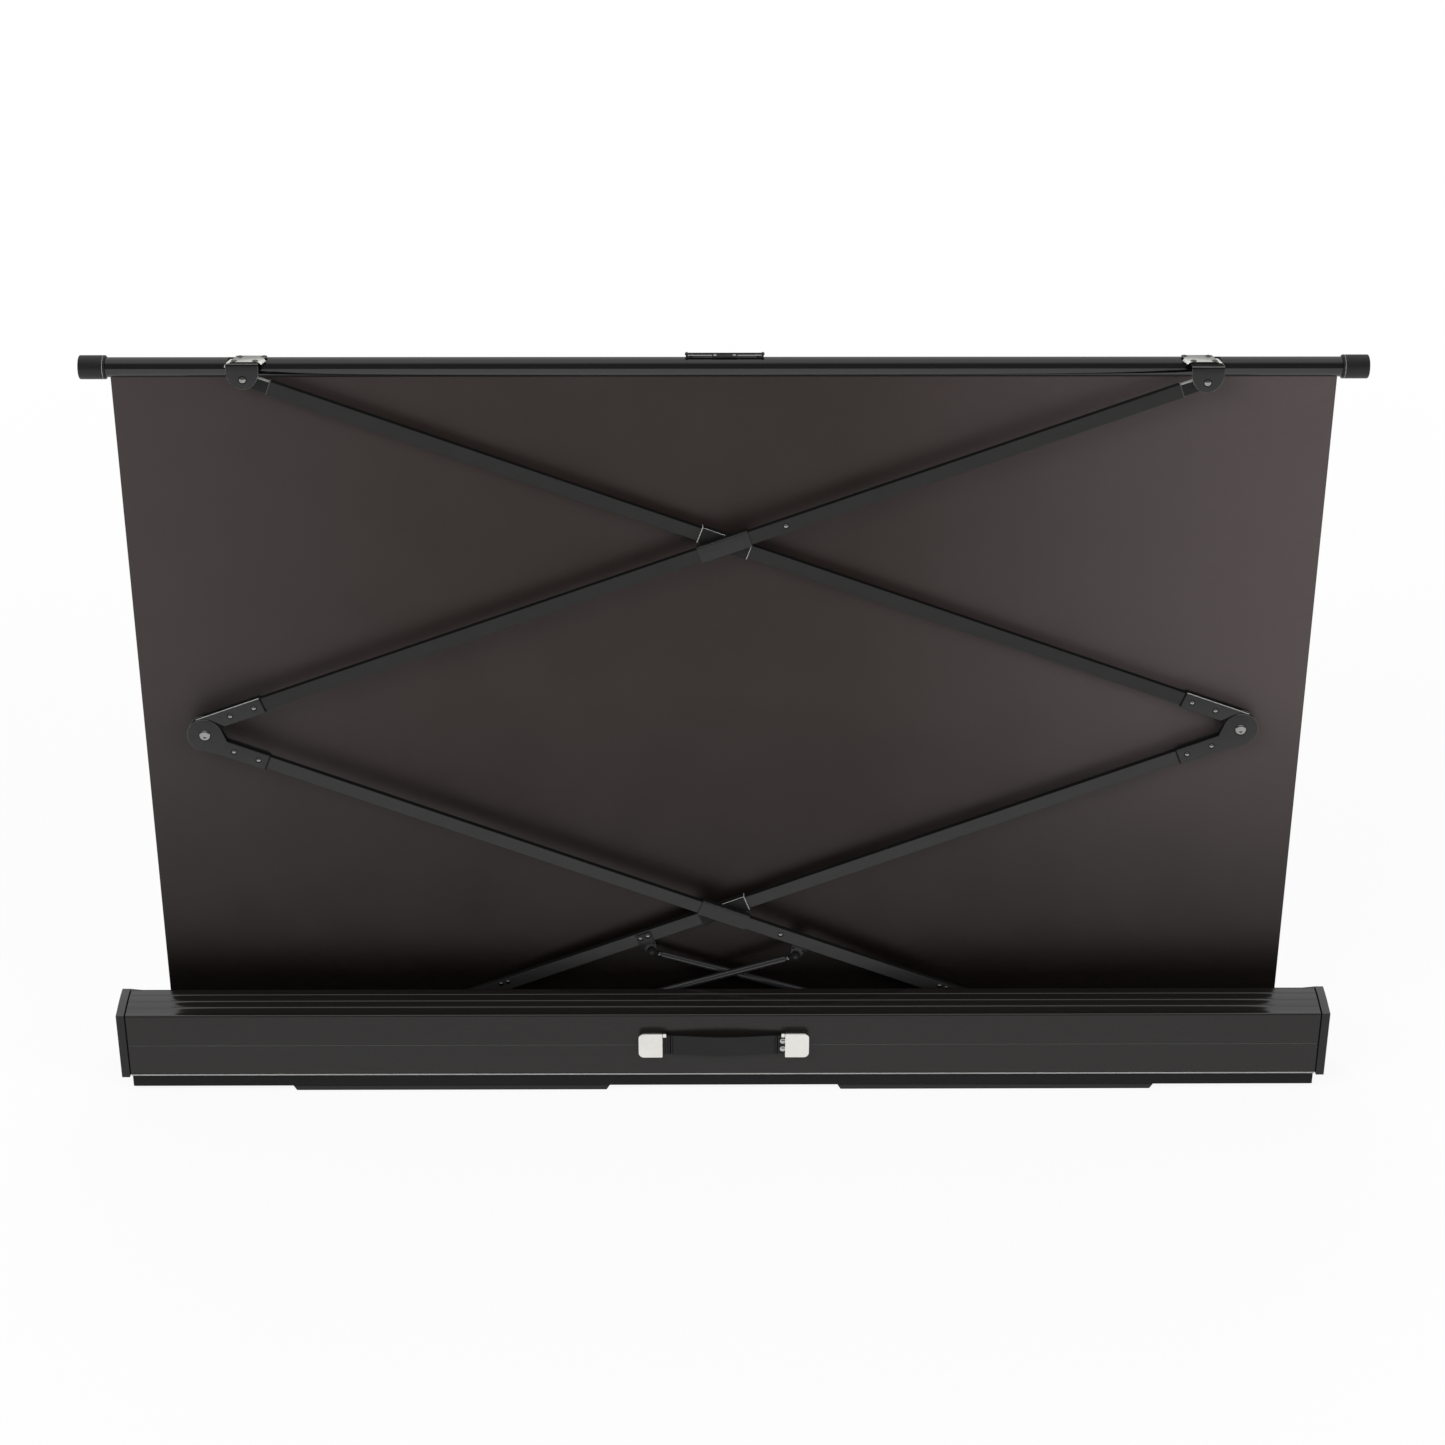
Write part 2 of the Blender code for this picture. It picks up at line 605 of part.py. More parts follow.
def socket(side, start, height):
    """The sleeve of an elbow fitting that takes the arm's end; start is its end by the elbow."""
    depth = ARM_DEPTH + 2 * (GAP + CHEEK)
    span = mirrored(side, (start, start + SOCKET_LENGTH))
    return box(span, around(0.0, depth), around(height, SOCKET_HEIGHT))


def fork(arm, side, word):
    """Two cheeks round the elbow, on the lower arm."""
    inside = ARM_DEPTH / 2 + GAP
    elbow = (-side * LOWER_ARM, ELBOW_ABOVE_LOWER)
    base = -side * (LOWER_ARM - SOCKET_START - GAP)
    outline = wrap(circle(elbow, LOBE_RADIUS, WIDE_ROUND)
                   + [(base, SOCKET_HEIGHT / 2), (base, -SOCKET_HEIGHT / 2)])
    near = prism("Y", outline, -inside - CHEEK, -inside)
    far = prism("Y", outline, inside, inside + CHEEK)
    body = socket(-side, LOWER_ARM - SOCKET_START - SOCKET_LENGTH, 0.0)
    pocket = arm_pocket(-side, LOWER_ARM - SOCKET_START - SOCKET_LENGTH - GAP,
                        LOWER_ARM - SOCKET_START - SOCKET_END_WALL, 0.0)
    heads = rivets(-side, [LOWER_ARM - x for x in ELBOW_RIVETS], 0.0, -inside - CHEEK)
    piece(f"elbow_fork_{word}", body, BLACK, arm, add=[near, far, *heads],
          cut=[pocket, pin_hole(ELBOW_ABOVE_LOWER, -side * LOWER_ARM)])


def tongue(arm, side, word):
    """The plate between the cheeks, on the upper arm."""
    inside = ARM_DEPTH / 2 + GAP
    base = side * (SOCKET_START + SOCKET_END_WALL / 2)
    outline = wrap(circle((0.0, 0.0), TONGUE_RADIUS, WIDE_ROUND)
                   + [(base, ELBOW_BELOW_UPPER + SOCKET_HEIGHT / 2), (base, ELBOW_BELOW_UPPER)])
    plate = prism("Y", outline, -ARM_DEPTH / 2, ARM_DEPTH / 2)
    pocket = arm_pocket(side, SOCKET_START + SOCKET_END_WALL, SOCKET_START + SOCKET_LENGTH + GAP,
                        ELBOW_BELOW_UPPER)
    heads = rivets(side, ELBOW_RIVETS, ELBOW_BELOW_UPPER, -inside - CHEEK)
    piece(f"elbow_tongue_{word}", socket(side, SOCKET_START, ELBOW_BELOW_UPPER), BLACK, arm,
          add=[plate, *heads], cut=[pocket, pin_hole()])


def spring_end(side):
    """Place of the gas spring's upper end in the lower arm's frame, with the arm on this side."""
    along = ((BOTTOM_PIVOT_X - SPRING_ARM_X - SPRING_DROP * sin(LOWER_ANGLE)) / cos(LOWER_ANGLE))
    return -side * along, -SPRING_DROP


def hanger(arm, side, word):
    """The moulded bracket that hangs the gas spring's end below the arm."""
    x, z = spring_end(side)
    under = -ARM_HEIGHT / 2 - GAP
    front = -ARM_DEPTH / 2 - GAP
    outline = [(front - HANGER_FRONT, -under), (front, -under), (front, under), (HANGER_PLATE_Y[1], under),
               (HANGER_PLATE_Y[1], z - HANGER_BELOW_END), (HANGER_PLATE_Y[0], z - HANGER_BELOW_END),
               (HANGER_PLATE_Y[0], under - HANGER_WEB), (front - HANGER_FRONT, under - HANGER_WEB)]
    heads = rivets(1, (x - HANGER_LENGTH / 4, x + HANGER_LENGTH / 4), 0.0, front - HANGER_FRONT)
    piece(f"spring_hanger_{word}", prism("X", outline, *around(x, HANGER_LENGTH)), BLACK, arm, add=heads)


def gas_spring(case, side, word, layer):
    """Rod on the floor clevis and cylinder on the rod; side is that of the arm it lifts."""
    x, z = spring_end(side)
    end = Matrix.Rotation(side * LOWER_ANGLE, 3, "Y") @ Vector((x, 0.0, z))
    rise = BOTTOM_PIVOT_Z + end.z - SPRING_MOUNT_Z
    run = SPRING_MOUNT_X + side * (side * BOTTOM_PIVOT_X + end.x)
    length = hypot(rise, run)
    angle = atan2(rise, run)
    place = (-side * SPRING_MOUNT_X, layer, SPRING_MOUNT_Z)
    mount = frame(f"spring_axis_{word}", case, place, -side * angle)
    reach = length - NECK_LENGTH - CYLINDER_LENGTH + ROD_OVERLAP
    eye = rod("Y", ROD_EYE_RADIUS, *around(0.0, ROD_EYE_DEPTH))
    shaft = rod("X", ROD_RADIUS, *mirrored(side, (ROD_START, reach)))
    hole = rod("Y", MOUNT_PIN_RADIUS + GAP, -ROD_EYE_DEPTH, ROD_EYE_DEPTH)
    piece(f"spring_rod_{word}", eye, STEEL, mount, add=[shaft], cut=[hole])

    slide = frame(f"spring_slide_{word}", mount, (side * length, 0.0, 0.0))
    body = turned("X", ((CYLINDER_RADIUS - CYLINDER_CHAMFER / 2, -side * NECK_LENGTH),
                        (CYLINDER_RADIUS, -side * (NECK_LENGTH + CYLINDER_CHAMFER)),
                        (CYLINDER_RADIUS, -side * (NECK_LENGTH + CYLINDER_LENGTH))))
    neck = box(mirrored(side, (-NECK_LENGTH - JOIN, 0.0)), NECK_Y, around(0.0, NECK_HEIGHT))
    tip = rod("Y", SPRING_EYE_RADIUS, *NECK_Y)
    bore = rod("X", ROD_RADIUS + GAP, *mirrored(side, (-NECK_LENGTH - CYLINDER_LENGTH - GAP,
                                                      -NECK_LENGTH - CYLINDER_END)))
    piece(f"spring_cylinder_{word}", body, GLOSS_BLACK, slide, add=[neck, tip], cut=[bore])


def upper_arm(lower, side, word, loose):
    """Upper arm with its elbow tongue and tip; returns its frame, on the elbow's axis."""
    arm = frame(f"elbow_axis_{word}", lower, (-side * LOWER_ARM, 0.0, ELBOW_ABOVE_LOWER),
                -side * (LOWER_ANGLE + UPPER_ANGLE))
    start = SOCKET_START + SOCKET_END_WALL + GAP
    cross = UPPER_ARM - TOP_PIVOT_X / cos(UPPER_ANGLE)
    stop = stop_screw(side * (cross + STOP_FROM_CROSS), ELBOW_BELOW_UPPER)
    piece(f"upper_arm_{word}", arm_tube(side, start, UPPER_ARM - TIP_NECK, ELBOW_BELOW_UPPER), ARM_GREY, arm,
          add=[stop] if side > 0 else [])
    tongue(arm, side, word)
    pivot = (side * UPPER_ARM, ELBOW_BELOW_UPPER)
    base = side * (UPPER_ARM - TIP_NECK + GAP)
    edges = around(pivot[1], TIP_HEIGHT)
    outline = wrap(circle(pivot, TIP_HEIGHT / 2) + [(base, edges[0]), (base, edges[1])])
    insert = box(mirrored(side, (UPPER_ARM - TIP_NECK - TIP_INSERT, UPPER_ARM - TIP_NECK + JOIN)),
                 around(0.0, ARM_DEPTH - 2 * (ARM_WALL + GAP)),
                 around(pivot[1], ARM_HEIGHT - 2 * (ARM_WALL + GAP)))
    piece(f"arm_tip_{word}", prism("Y", outline, *around(0.0, TIP_DEPTH)), BLACK, arm, add=[insert],
          cut=[pin_hole(pivot[1], pivot[0], loose)])
    return arm


def sleeve(arm, cross, height, level, word):
    """A sleeve that slides on an arm, at the crossing; the outer one holds the pair's pin."""
    slide = frame(f"{level}_slide_{word}", arm, (cross, 0.0, height))
    outer = rectangle(around(0.0, SLEEVE_DEPTH), around(0.0, SLEEVE_HEIGHT))
    inner = rectangle(around(0.0, ARM_DEPTH + 2 * GAP), around(0.0, ARM_HEIGHT + 2 * GAP))
    span = around(0.0, SLEEVE_LENGTH)
    back = SLEEVE_DEPTH / 2
    body = hollow_prism("X", outer, inner, *span)
    if word == "inner":
        piece(f"{level}_sleeve_{word}", body, ARM_GREY, slide)
        return
    hole = rod("Y", CROSS_PIN_RADIUS + GAP, ARM_DEPTH / 2, back + GAP)
    piece(f"{level}_sleeve_{word}", body, ARM_GREY, slide, cut=[hole])
    pin = rod("Y", CROSS_PIN_RADIUS, ARM_DEPTH / 2 + GAP, back + CROSS_PIN_STANDS_OUT)
    piece(f"{level}_cross_pin", pin, STEEL, slide)


def top_bracket(top, side, word, layer):
    """Saddle plate on the tube, with the ear that carries the upper arm's pivot pin."""
    front = layer - ARM_DEPTH / 2 - GAP - CHEEK
    x = side * TOP_PIVOT_X
    plate_top = TUBE_ABOVE_PIVOT + TUBE_RADIUS + GAP + SADDLE_THICKNESS
    toe = arc((x, EAR_TOE_RADIUS - EAR_BELOW_PIVOT), EAR_TOE_RADIUS, -pi, 0.0, ROUND // 2)
    outline = wrap(toe + [(x - EAR_WIDTH / 2, 0.0), (x + EAR_WIDTH / 2, 0.0),
                          (x - EAR_WIDTH / 2, plate_top), (x + EAR_WIDTH / 2, plate_top)])
    saddle = box(around(x - side * SADDLE_INBOARD, SADDLE_WIDTH), (front, SADDLE_PAST_CROWN),
                 (plate_top - SADDLE_THICKNESS, plate_top))
    hole = rod("Y", PIN_RADIUS + GAP, front - GAP, front + CHEEK + GAP, (x, 0.0))
    ear = prism("Y", outline, front, front + CHEEK)
    piece(f"top_bracket_{word}", saddle, CHROME, top, add=[ear], cut=[hole])
    pin = through_pin(-ARM_DEPTH / 2 - GAP - CHEEK, TIP_DEPTH / 2)
    pin.transform(Matrix.Translation((x, layer, 0.0)))
    piece(f"top_pin_{word}", pin, STEEL, top)


def top_tube(top):
    """The tube, open below in a slot for the fabric, and its end caps."""
    middle = (0.0, TUBE_ABOVE_PIVOT)
    left, right = FABRIC_Y - TUBE_SLOT / 2, FABRIC_Y + TUBE_SLOT / 2
    outline = []
    for radius, start, end in ((TUBE_RADIUS, right, left), (TUBE_RADIUS - TUBE_WALL, left, right)):
        a = -acos(start / radius)
        b = -acos(end / radius)
        turn = (b - a) % (2 * pi) if radius == TUBE_RADIUS else -((a - b) % (2 * pi))
        outline += arc(middle, radius, a, a + turn, WIDE_ROUND)
    half = SPAN_OVER_CAPS / 2 - CAP_END - GAP
    piece("top_tube", prism("X", outline, -half, half), GLOSS_BLACK, top)
    for side, word in ((-1, "left"), (1, "right")):
        end = SPAN_OVER_CAPS / 2
        shell = rod("X", CAP_RADIUS, side * (end - CAP_LENGTH), side * end, middle, WIDE_ROUND)
        mouth = side * (end - CAP_LENGTH - GAP)
        bore = rod("X", TUBE_RADIUS + GAP, mouth, side * (end - CAP_END), middle, WIDE_ROUND)
        piece(f"tube_cap_{word}", shell, PLASTIC, top, cut=[bore])


def pull_handle(top):
    """Plate with two lugs on the tube's crown, and the bail that lies forward between them."""
    bottom = TUBE_ABOVE_PIVOT + TUBE_RADIUS + GAP
    plate = bottom + HANDLE_PLATE
    tip = bottom + HANDLE_LUG_HEIGHT
    half = HANDLE_SPAN / 2
    end = half + HANDLE_LUG
    outline = [(-end, bottom), (end, bottom), (end, tip), (half, tip),
               (half, plate), (-half, plate), (-half, tip), (-end, tip)]
    height = plate + BAIL_ABOVE_PLATE
    hole = rod("X", BAIL_RADIUS + GAP, -half - 2 * HANDLE_LUG, half + 2 * HANDLE_LUG, (0.0, height))
    piece("handle_plate", prism("Y", outline, *around(0.0, HANDLE_WIDTH)), STEEL, top, cut=[hole])

    bail = frame("bail_axis", top, (0.0, 0.0, height))
    leg = BAIL_LEG_X
    route = [(half + HANDLE_LUG + BAIL_PAST_LUG, 0.0)]
    route += arc((leg + BAIL_BEND / 2, BAIL_BEND / 2), BAIL_BEND / 2, -pi / 2, -pi, BEND_STEPS)
    route += arc((leg - BAIL_BEND, BAIL_REACH - BAIL_BEND), BAIL_BEND, 0.0, pi / 2, BEND_STEPS)
    route += [(-x, y) for x, y in route[::-1]]
    curve = bpy.data.curves.new("bail_route", "CURVE")
    curve.dimensions = "3D"
    curve.bevel_depth = BAIL_RADIUS
    curve.bevel_resolution = 2
    curve.use_fill_caps = True
    spline = curve.splines.new("POLY")
    spline.points.add(len(route) - 1)
    for point, (x, y) in zip(spline.points, route):
        point.co = (x, y, 0.0, 1.0)
    curve.materials.append(finish("handle_bail", STEEL))
    link("handle_bail", curve, bail)


def feet(case):
    half = FOOT_LENGTH / 2
    outline = [(-half, FOOT_THICKNESS), (FOOT_BEVEL - half, 0.0), (half - FOOT_BEVEL, 0.0),
               (half, FOOT_THICKNESS)]
    head = STUD_HEAD_Z + STUD_HEAD + GAP
    for side, word in ((-1, "left"), (1, "right")):
        pivot = frame(f"foot_axis_{word}", case, (side * FOOT_X, foot_y(), 0.0))
        seat = turned("Z", ((STUD_HEAD_RADIUS + GAP, -GAP), (STUD_HEAD_RADIUS + GAP, head),
                            (STUD_RADIUS + GAP, head), (STUD_RADIUS + GAP, FOOT_THICKNESS + GAP)))
        piece(f"foot_{word}", prism("Y", outline, *around(0.0, FOOT_WIDTH)), ARM_GREY, pivot, cut=[seat])


def main():
    clear_scene()
    case = frame("case_frame", None, (0.0, CENTRE_SHIFT, 0.0))
    rear_cover(case)
    front_wall(case)
    base_rail(case)
    end_caps(case)
    carry_strap(case)
    roller(case)
    fabric(case)
    feet(case)
    chains = ((1, "outer", "right", OUTER_LAYER_Y, GAP), (-1, "inner", "left", INNER_LAYER_Y, LOOSE_PIVOT))
    for side, word, end, layer, loose in chains:
        pivot_brackets(case, side, word, layer)
        lower = lower_arm(case, side, word, layer)
        upper = upper_arm(lower, side, word, loose)
        gas_spring(case, side, word, layer)
        cross = UPPER_ARM - TOP_PIVOT_X / cos(UPPER_ANGLE)
        sleeve(upper, side * cross, ELBOW_BELOW_UPPER, "upper", word)
        sleeve(lower, -side * BOTTOM_PIVOT_X / cos(LOWER_ANGLE), 0.0, "lower", word)
        if side > 0:
            pivot = frame("top_axis", upper, (side * UPPER_ARM, 0.0, ELBOW_BELOW_UPPER), UPPER_ANGLE)
            top = frame("top_frame", pivot, (-TOP_PIVOT_X, -layer, 0.0))
            top_tube(top)
            pull_handle(top)
        top_bracket(top, side, end, layer)


main()
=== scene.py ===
"""Portable projection screen: looks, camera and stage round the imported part.

The file is laid out as an add-on and run as a script. X runs along the case, -Y is the side
with the lifting arms, +Y is the side that is watched, and +Z is up.
"""
import json
from math import acos, asin, atan2, cos, hypot, pi, radians, sin

import bmesh
import bpy
from mathutils import Matrix, Vector


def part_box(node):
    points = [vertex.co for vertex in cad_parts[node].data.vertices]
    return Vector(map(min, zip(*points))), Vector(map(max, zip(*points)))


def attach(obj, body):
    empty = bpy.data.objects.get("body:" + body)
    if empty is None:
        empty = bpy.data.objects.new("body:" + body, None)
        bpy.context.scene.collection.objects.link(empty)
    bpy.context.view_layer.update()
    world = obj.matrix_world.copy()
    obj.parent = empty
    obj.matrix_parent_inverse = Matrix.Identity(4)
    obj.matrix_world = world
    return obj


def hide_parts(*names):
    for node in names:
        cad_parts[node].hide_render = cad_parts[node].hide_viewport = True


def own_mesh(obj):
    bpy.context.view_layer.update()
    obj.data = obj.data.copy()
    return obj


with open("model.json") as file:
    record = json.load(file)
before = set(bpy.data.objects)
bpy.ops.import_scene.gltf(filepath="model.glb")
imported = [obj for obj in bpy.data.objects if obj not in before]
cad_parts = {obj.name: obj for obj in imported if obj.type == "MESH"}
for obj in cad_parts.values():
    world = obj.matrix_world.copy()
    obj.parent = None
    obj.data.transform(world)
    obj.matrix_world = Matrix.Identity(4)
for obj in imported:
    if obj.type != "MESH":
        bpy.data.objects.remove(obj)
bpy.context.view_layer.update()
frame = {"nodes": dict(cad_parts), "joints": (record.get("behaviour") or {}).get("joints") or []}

bl_info = {
    "name": "Portable projection screen",
    "version": (1, 0, 0),
    "blender": (4, 5, 0),
    "location": "3D View > Sidebar > Screen",
    "description": "Builds the pieces and finishes of a portable projection screen",
    "category": "Add Mesh", }

JOINTS = {joint["name"]: joint for joint in frame["joints"]}

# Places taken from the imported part
CLOTH_LOW, CLOTH_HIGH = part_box("screen_fabric")
COVER_LOW, COVER_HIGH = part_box("rear_cover")
FRONT_LOW, FRONT_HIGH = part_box("front_wall")
HANDLE_LOW, HANDLE_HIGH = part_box("handle_plate")
TUBE_LOW, TUBE_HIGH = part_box("top_tube")
CAP_LOW, CAP_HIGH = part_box("tube_cap_left")
RAIL_Y = (HANDLE_LOW.y + HANDLE_HIGH.y) / 2
RAIL_Z = (CAP_LOW.z + CAP_HIGH.z) / 2

# Sizes of the lifting arms, as in the part
ARM_HEIGHT = 0.022
ARM_DEPTH = 0.010
ARM_WALL = 0.0015
LOWER_TILT = radians(21.38356)
UPPER_TILT = radians(20.33)
LOWER_ARM = 1.517
UPPER_ARM = 1.646
ELBOW_ABOVE_LOWER = 0.011
ELBOW_BELOW_UPPER = 0.017
TOP_PIVOT_X = 0.719
BOTTOM_PIVOT_X = 0.590
LOBE_RADIUS = 0.028
TONGUE_RADIUS = 0.026
CHEEK = 0.0023
SOCKET_START = 0.036
SOCKET_LENGTH = 0.072
SOCKET_HEIGHT = 0.0266
SOCKET_END_WALL = 0.006
RIVET_PLACES = (0.0515, 0.092)
END_SCREWS = (0.240, 0.252)     # from a lower arm's bottom pivot
STOP_SCREW = 0.100              # from a crossing, along the arm
TIP_NECK = 0.040
TIP_HEIGHT = 0.019
TIP_DEPTH = 0.009
GAP = 0.0003
LAYER_FACE = ARM_DEPTH / 2 + GAP + CHEEK

# Sizes of the gas springs, as in the part
SPRING_MOUNT_X = 0.490
SPRING_MOUNT_Z = 0.030
SPRING_ARM_X = 0.118
SPRING_DROP = 0.032
SPRING_LENGTH = 0.63566
SPRING_TILT = radians(16.963)
CYLINDER_RADIUS = 0.007
CYLINDER_LENGTH = 0.300
ROD_RADIUS = 0.004
NECK_LENGTH = 0.031
SHOULDER = 0.151                # height at which the case's dome starts
RIM_DROP = 0.003                # of the front wall's rim, which the crest hides from behind

SIDES = 48                      # of a round piece
SHARP = radians(32)             # a steeper edge is shaded sharp
BOTH = (-1, 1)
HANDS = ((-1, "left"), (1, "right"))
TURNS = {"X": (0.0, pi / 2, 0.0), "Y": (-pi / 2, 0.0, 0.0), "Z": (0.0, 0.0, 0.0)}
SWEEPS = {"X": Matrix.Identity(3), "Y": Matrix.Rotation(-pi / 2, 3, "Z"),
          "Z": Matrix(((0, 1, 0), (0, 0, 1), (1, 0, 0)))}


def length(name, description, default, least=0.0):
    return bpy.props.FloatProperty(name=name, description=description, default=default, min=least,
                                   unit="LENGTH", precision=5)


def colour(name, description, default):
    return bpy.props.FloatVectorProperty(name=name, description=description, default=default, size=3,
                                         subtype="COLOR", min=0.0, max=1.0)


class ScreenSizes(bpy.types.PropertyGroup):
    edge: length("Edge rounding", "Rounding of cut and folded edges", 0.0005)
    arm_corner: length("Arm corner", "Corner radius of the arms' tube", 0.0009)
    rib_height: length("Rib height", "Height of the ribs on the case's top", 0.0006)
    rib_width: length("Rib width", "Width of a rib on the case's top", 0.0016)
    lip: length("Lip", "Rounding of the brackets' and sleeves' pale edges", 0.0009)
    joint: length("End cap joint", "Width of the groove between the case and its end caps", 0.0018)
    groove: length("Groove", "Depth of the groove along the case's rear wall", 0.0009)
    border: length("Border", "Black border at the sides of the viewing surface", 0.035)
    border_top: length("Top border", "Black border above the viewing surface", 0.045)
    border_bottom: length("Bottom border", "Black border of the viewing surface down to the roller", 0.110)
    thread: length("Thread", "Spacing of the cloth's threads", 0.0011)
    floor: length("Floor", "Width of the studio floor", 60.0)


class ScreenColours(bpy.types.PropertyGroup):
    cloth_back: colour("Cloth back", "Coated back of the cloth", (0.0170, 0.0122, 0.0108))
    # The cloth's paler colour near its sides is painted light.
    cloth_painted_light: colour("Cloth sides", "Coated back of the cloth near its sides", (0.0354, 0.0283, 0.0297))
    cloth_front: colour("Cloth front", "Viewing surface", (0.84, 0.84, 0.83))
    cloth_border: colour("Cloth border", "Black border of the viewing surface", (0.012, 0.012, 0.012))
    case: colour("Case", "Anodised shell of the case", (0.0100, 0.0085, 0.0080))
    plastic: colour("Plastic", "End caps of the case and of the tube", (0.0085, 0.0080, 0.0080))
    arms: colour("Arms", "Painted upper arms", (0.0078, 0.0073, 0.0070))
    # lower_arms is the arm paint made lighter and glossier: painted light for the light the lower arms get
    # from the floor
    lower_arms: colour("Lower arms", "Painted lower arms", (0.0118, 0.0116, 0.0113))
    black: colour("Black", "Brackets, hangers and carry strap", (0.0060, 0.0060, 0.0062))
    gloss: colour("Gloss black", "Top tube and gas cylinders", (0.0030, 0.0030, 0.0034))
    cylinder: colour("Cylinder", "Satin gas cylinders", (0.012, 0.012, 0.013))
    # The pale edge colour is painted highlight: it stands for light caught by edges that face up or toward
    # the camera.
    bare: colour("Bare edge", "Cut edges of pressed and folded parts", (0.30, 0.30, 0.29))
    nickel: colour("Nickel", "Rivets and pivot heads", (0.30, 0.30, 0.29))
    zinc: colour("Zinc", "Pins, rivets and springs", (0.52, 0.52, 0.50))
    chrome: colour("Chrome", "Strap ends and saddles", (0.80, 0.79, 0.75))
    rubber: colour("Rubber", "Pads below the feet", (0.014, 0.014, 0.014))


def sizes():
    return bpy.context.scene.screen_sizes


def colours():
    return bpy.context.scene.screen_colours


# Modelling helpers


def close_mesh():
    bpy.ops.object.mode_set(mode="OBJECT")


def fix_place():
    """Writes the active piece's place, turn and scale into its mesh."""
    bpy.ops.object.transform_apply(location=True, rotation=True, scale=True)


def select_whole():
    bpy.ops.mesh.select_all(action="SELECT")


def push(step):
    """Extrudes what is selected by a step."""
    bpy.ops.mesh.extrude_region_move(TRANSFORM_OT_translate={"value": step})


def recess(rim, step):
    """Insets the selected faces by a rim and extrudes them along X."""
    bpy.ops.mesh.inset(thickness=rim)
    push((step, 0.0, 0.0))


def nudge(step):
    """Moves what is selected by a step and closes the mesh."""
    bpy.ops.transform.translate(value=step)
    close_mesh()


def face_outwards():
    """Turns all faces outwards and closes the mesh."""
    select_whole()
    bpy.ops.mesh.normals_make_consistent(inside=False)
    close_mesh()


def deselect():
    if bpy.context.mode != "OBJECT":
        close_mesh()
    bpy.ops.object.select_all(action="DESELECT")


def activate(item):
    deselect()
    item.select_set(True)
    bpy.context.view_layer.objects.active = item


def settle(item, place=(0.0, 0.0, 0.0), tilt=0.0):
    """Moves a piece to its place, turned about Y by tilt, and writes that into its mesh."""
    activate(item)
    fix_place()
    item.location = place
    item.rotation_euler = (0.0, tilt, 0.0)
    fix_place()
    return item


def choose(item, test, kind="faces"):
    """Opens edit mode with only the faces, edges or verts selected that pass a test."""
    activate(item)
    bpy.ops.object.mode_set(mode="EDIT")
    bpy.ops.mesh.select_mode(type={"faces": "FACE", "edges": "EDGE", "verts": "VERT"}[kind])
    bpy.ops.mesh.select_all(action="DESELECT")
    mesh = bmesh.from_edit_mesh(item.data)
    for element in getattr(mesh, kind):
        if test(element):
            element.select_set(True)
    if kind == "verts":
        mesh.select_flush(True)
    bmesh.update_edit_mesh(item.data)


def faces_to(item, axis, sign=0, where=None):
    """Selects the faces that look along an axis, both ways where sign is 0."""
    k = "XYZ".index(axis)

    def test(face):
        looks = face.normal[k] * sign > 0.9 if sign else abs(face.normal[k]) > 0.9
        return looks and (where is None or where(face.calc_center_median()))
    choose(item, test)


def edges_along(item, axis, where=None):
    k = "XYZ".index(axis)

    def test(edge):
        run = edge.verts[1].co - edge.verts[0].co
        middle = (edge.verts[1].co + edge.verts[0].co) / 2
        return run.length > 1e-7 and abs(run.normalized()[k]) > 0.999 and (where is None or where(middle))
    choose(item, test, "edges")


def sliced(item, point, normal):
    """Adds edges round a piece where a plane crosses it."""
    choose(item, lambda face: True)
    bpy.ops.mesh.bisect(plane_co=point, plane_no=normal)
    close_mesh()


def block(name, low, high):
    """A cube between two corners."""
    deselect()
    middle = [(a + b) / 2 for a, b in zip(low, high)]
    bpy.ops.mesh.primitive_cube_add(size=1.0, location=middle)
    item = bpy.context.object
    item.name = name
    item.scale = [b - a for a, b in zip(low, high)]
    fix_place()
    return item


def turned(name, profile, centre=(0.0, 0.0, 0.0), axis="Z", sides=SIDES):
    """A round piece pulled ring by ring out of a filled circle, from (radius, along) pairs."""
    deselect()
    (radius, along), *rest = profile
    bpy.ops.mesh.primitive_circle_add(vertices=sides, radius=radius, fill_type="NGON",
                                      location=(0.0, 0.0, along))
    item = bpy.context.object
    item.name = name
    fix_place()
    bpy.ops.object.mode_set(mode="EDIT")
    bpy.ops.mesh.select_mode(type="FACE")
    select_whole()
    for wide, far in rest:
        push((0.0, 0.0, far - along))
        if wide != radius:
            share = wide / radius
            bpy.ops.transform.resize(value=(share, share, 1.0), center_override=(0.0, 0.0, far))
        radius, along = wide, far
    face_outwards()
    item.rotation_euler = TURNS[axis]
    item.location = centre
    fix_place()
    return item


def drawn(name, outline, start, end, axis="X"):
    """A closed outline drawn edge by edge, pushed along an axis and filled at both ends.

    The outline is (y, z) for X, (x, z) for Y and (x, y) for Z.
    """
    if axis == "Y":
        start, end = -end, -start
    deselect()
    (a, b), (c, d) = outline[:2]
    bpy.ops.mesh.primitive_plane_add(size=1.0, location=((start + end) / 2, (a + c) / 2, (b + d) / 2),
                                     rotation=(atan2(d - b, c - a), 0.0, 0.0))
    item = bpy.context.object
    item.name = name
    item.scale = (end - start, hypot(c - a, d - b), 1.0)
    fix_place()
    lead = Vector((0.0, c, d))
    choose(item, lambda edge: all((Vector((0.0, *v.co.yz)) - lead).length < 1e-6 for v in edge.verts),
           "edges")
    here = outline[1]
    for point in [*outline[2:], outline[0]]:
        step = (0.0, point[0] - here[0], point[1] - here[1])
        push(step)
        here = point
    select_whole()
    bpy.ops.mesh.remove_doubles(threshold=1e-6)
    select_whole()
    bpy.ops.mesh.fill_holes(sides=0)
    face_outwards()
    item.rotation_euler = SWEEPS[axis].to_euler()
    fix_place()
    return item


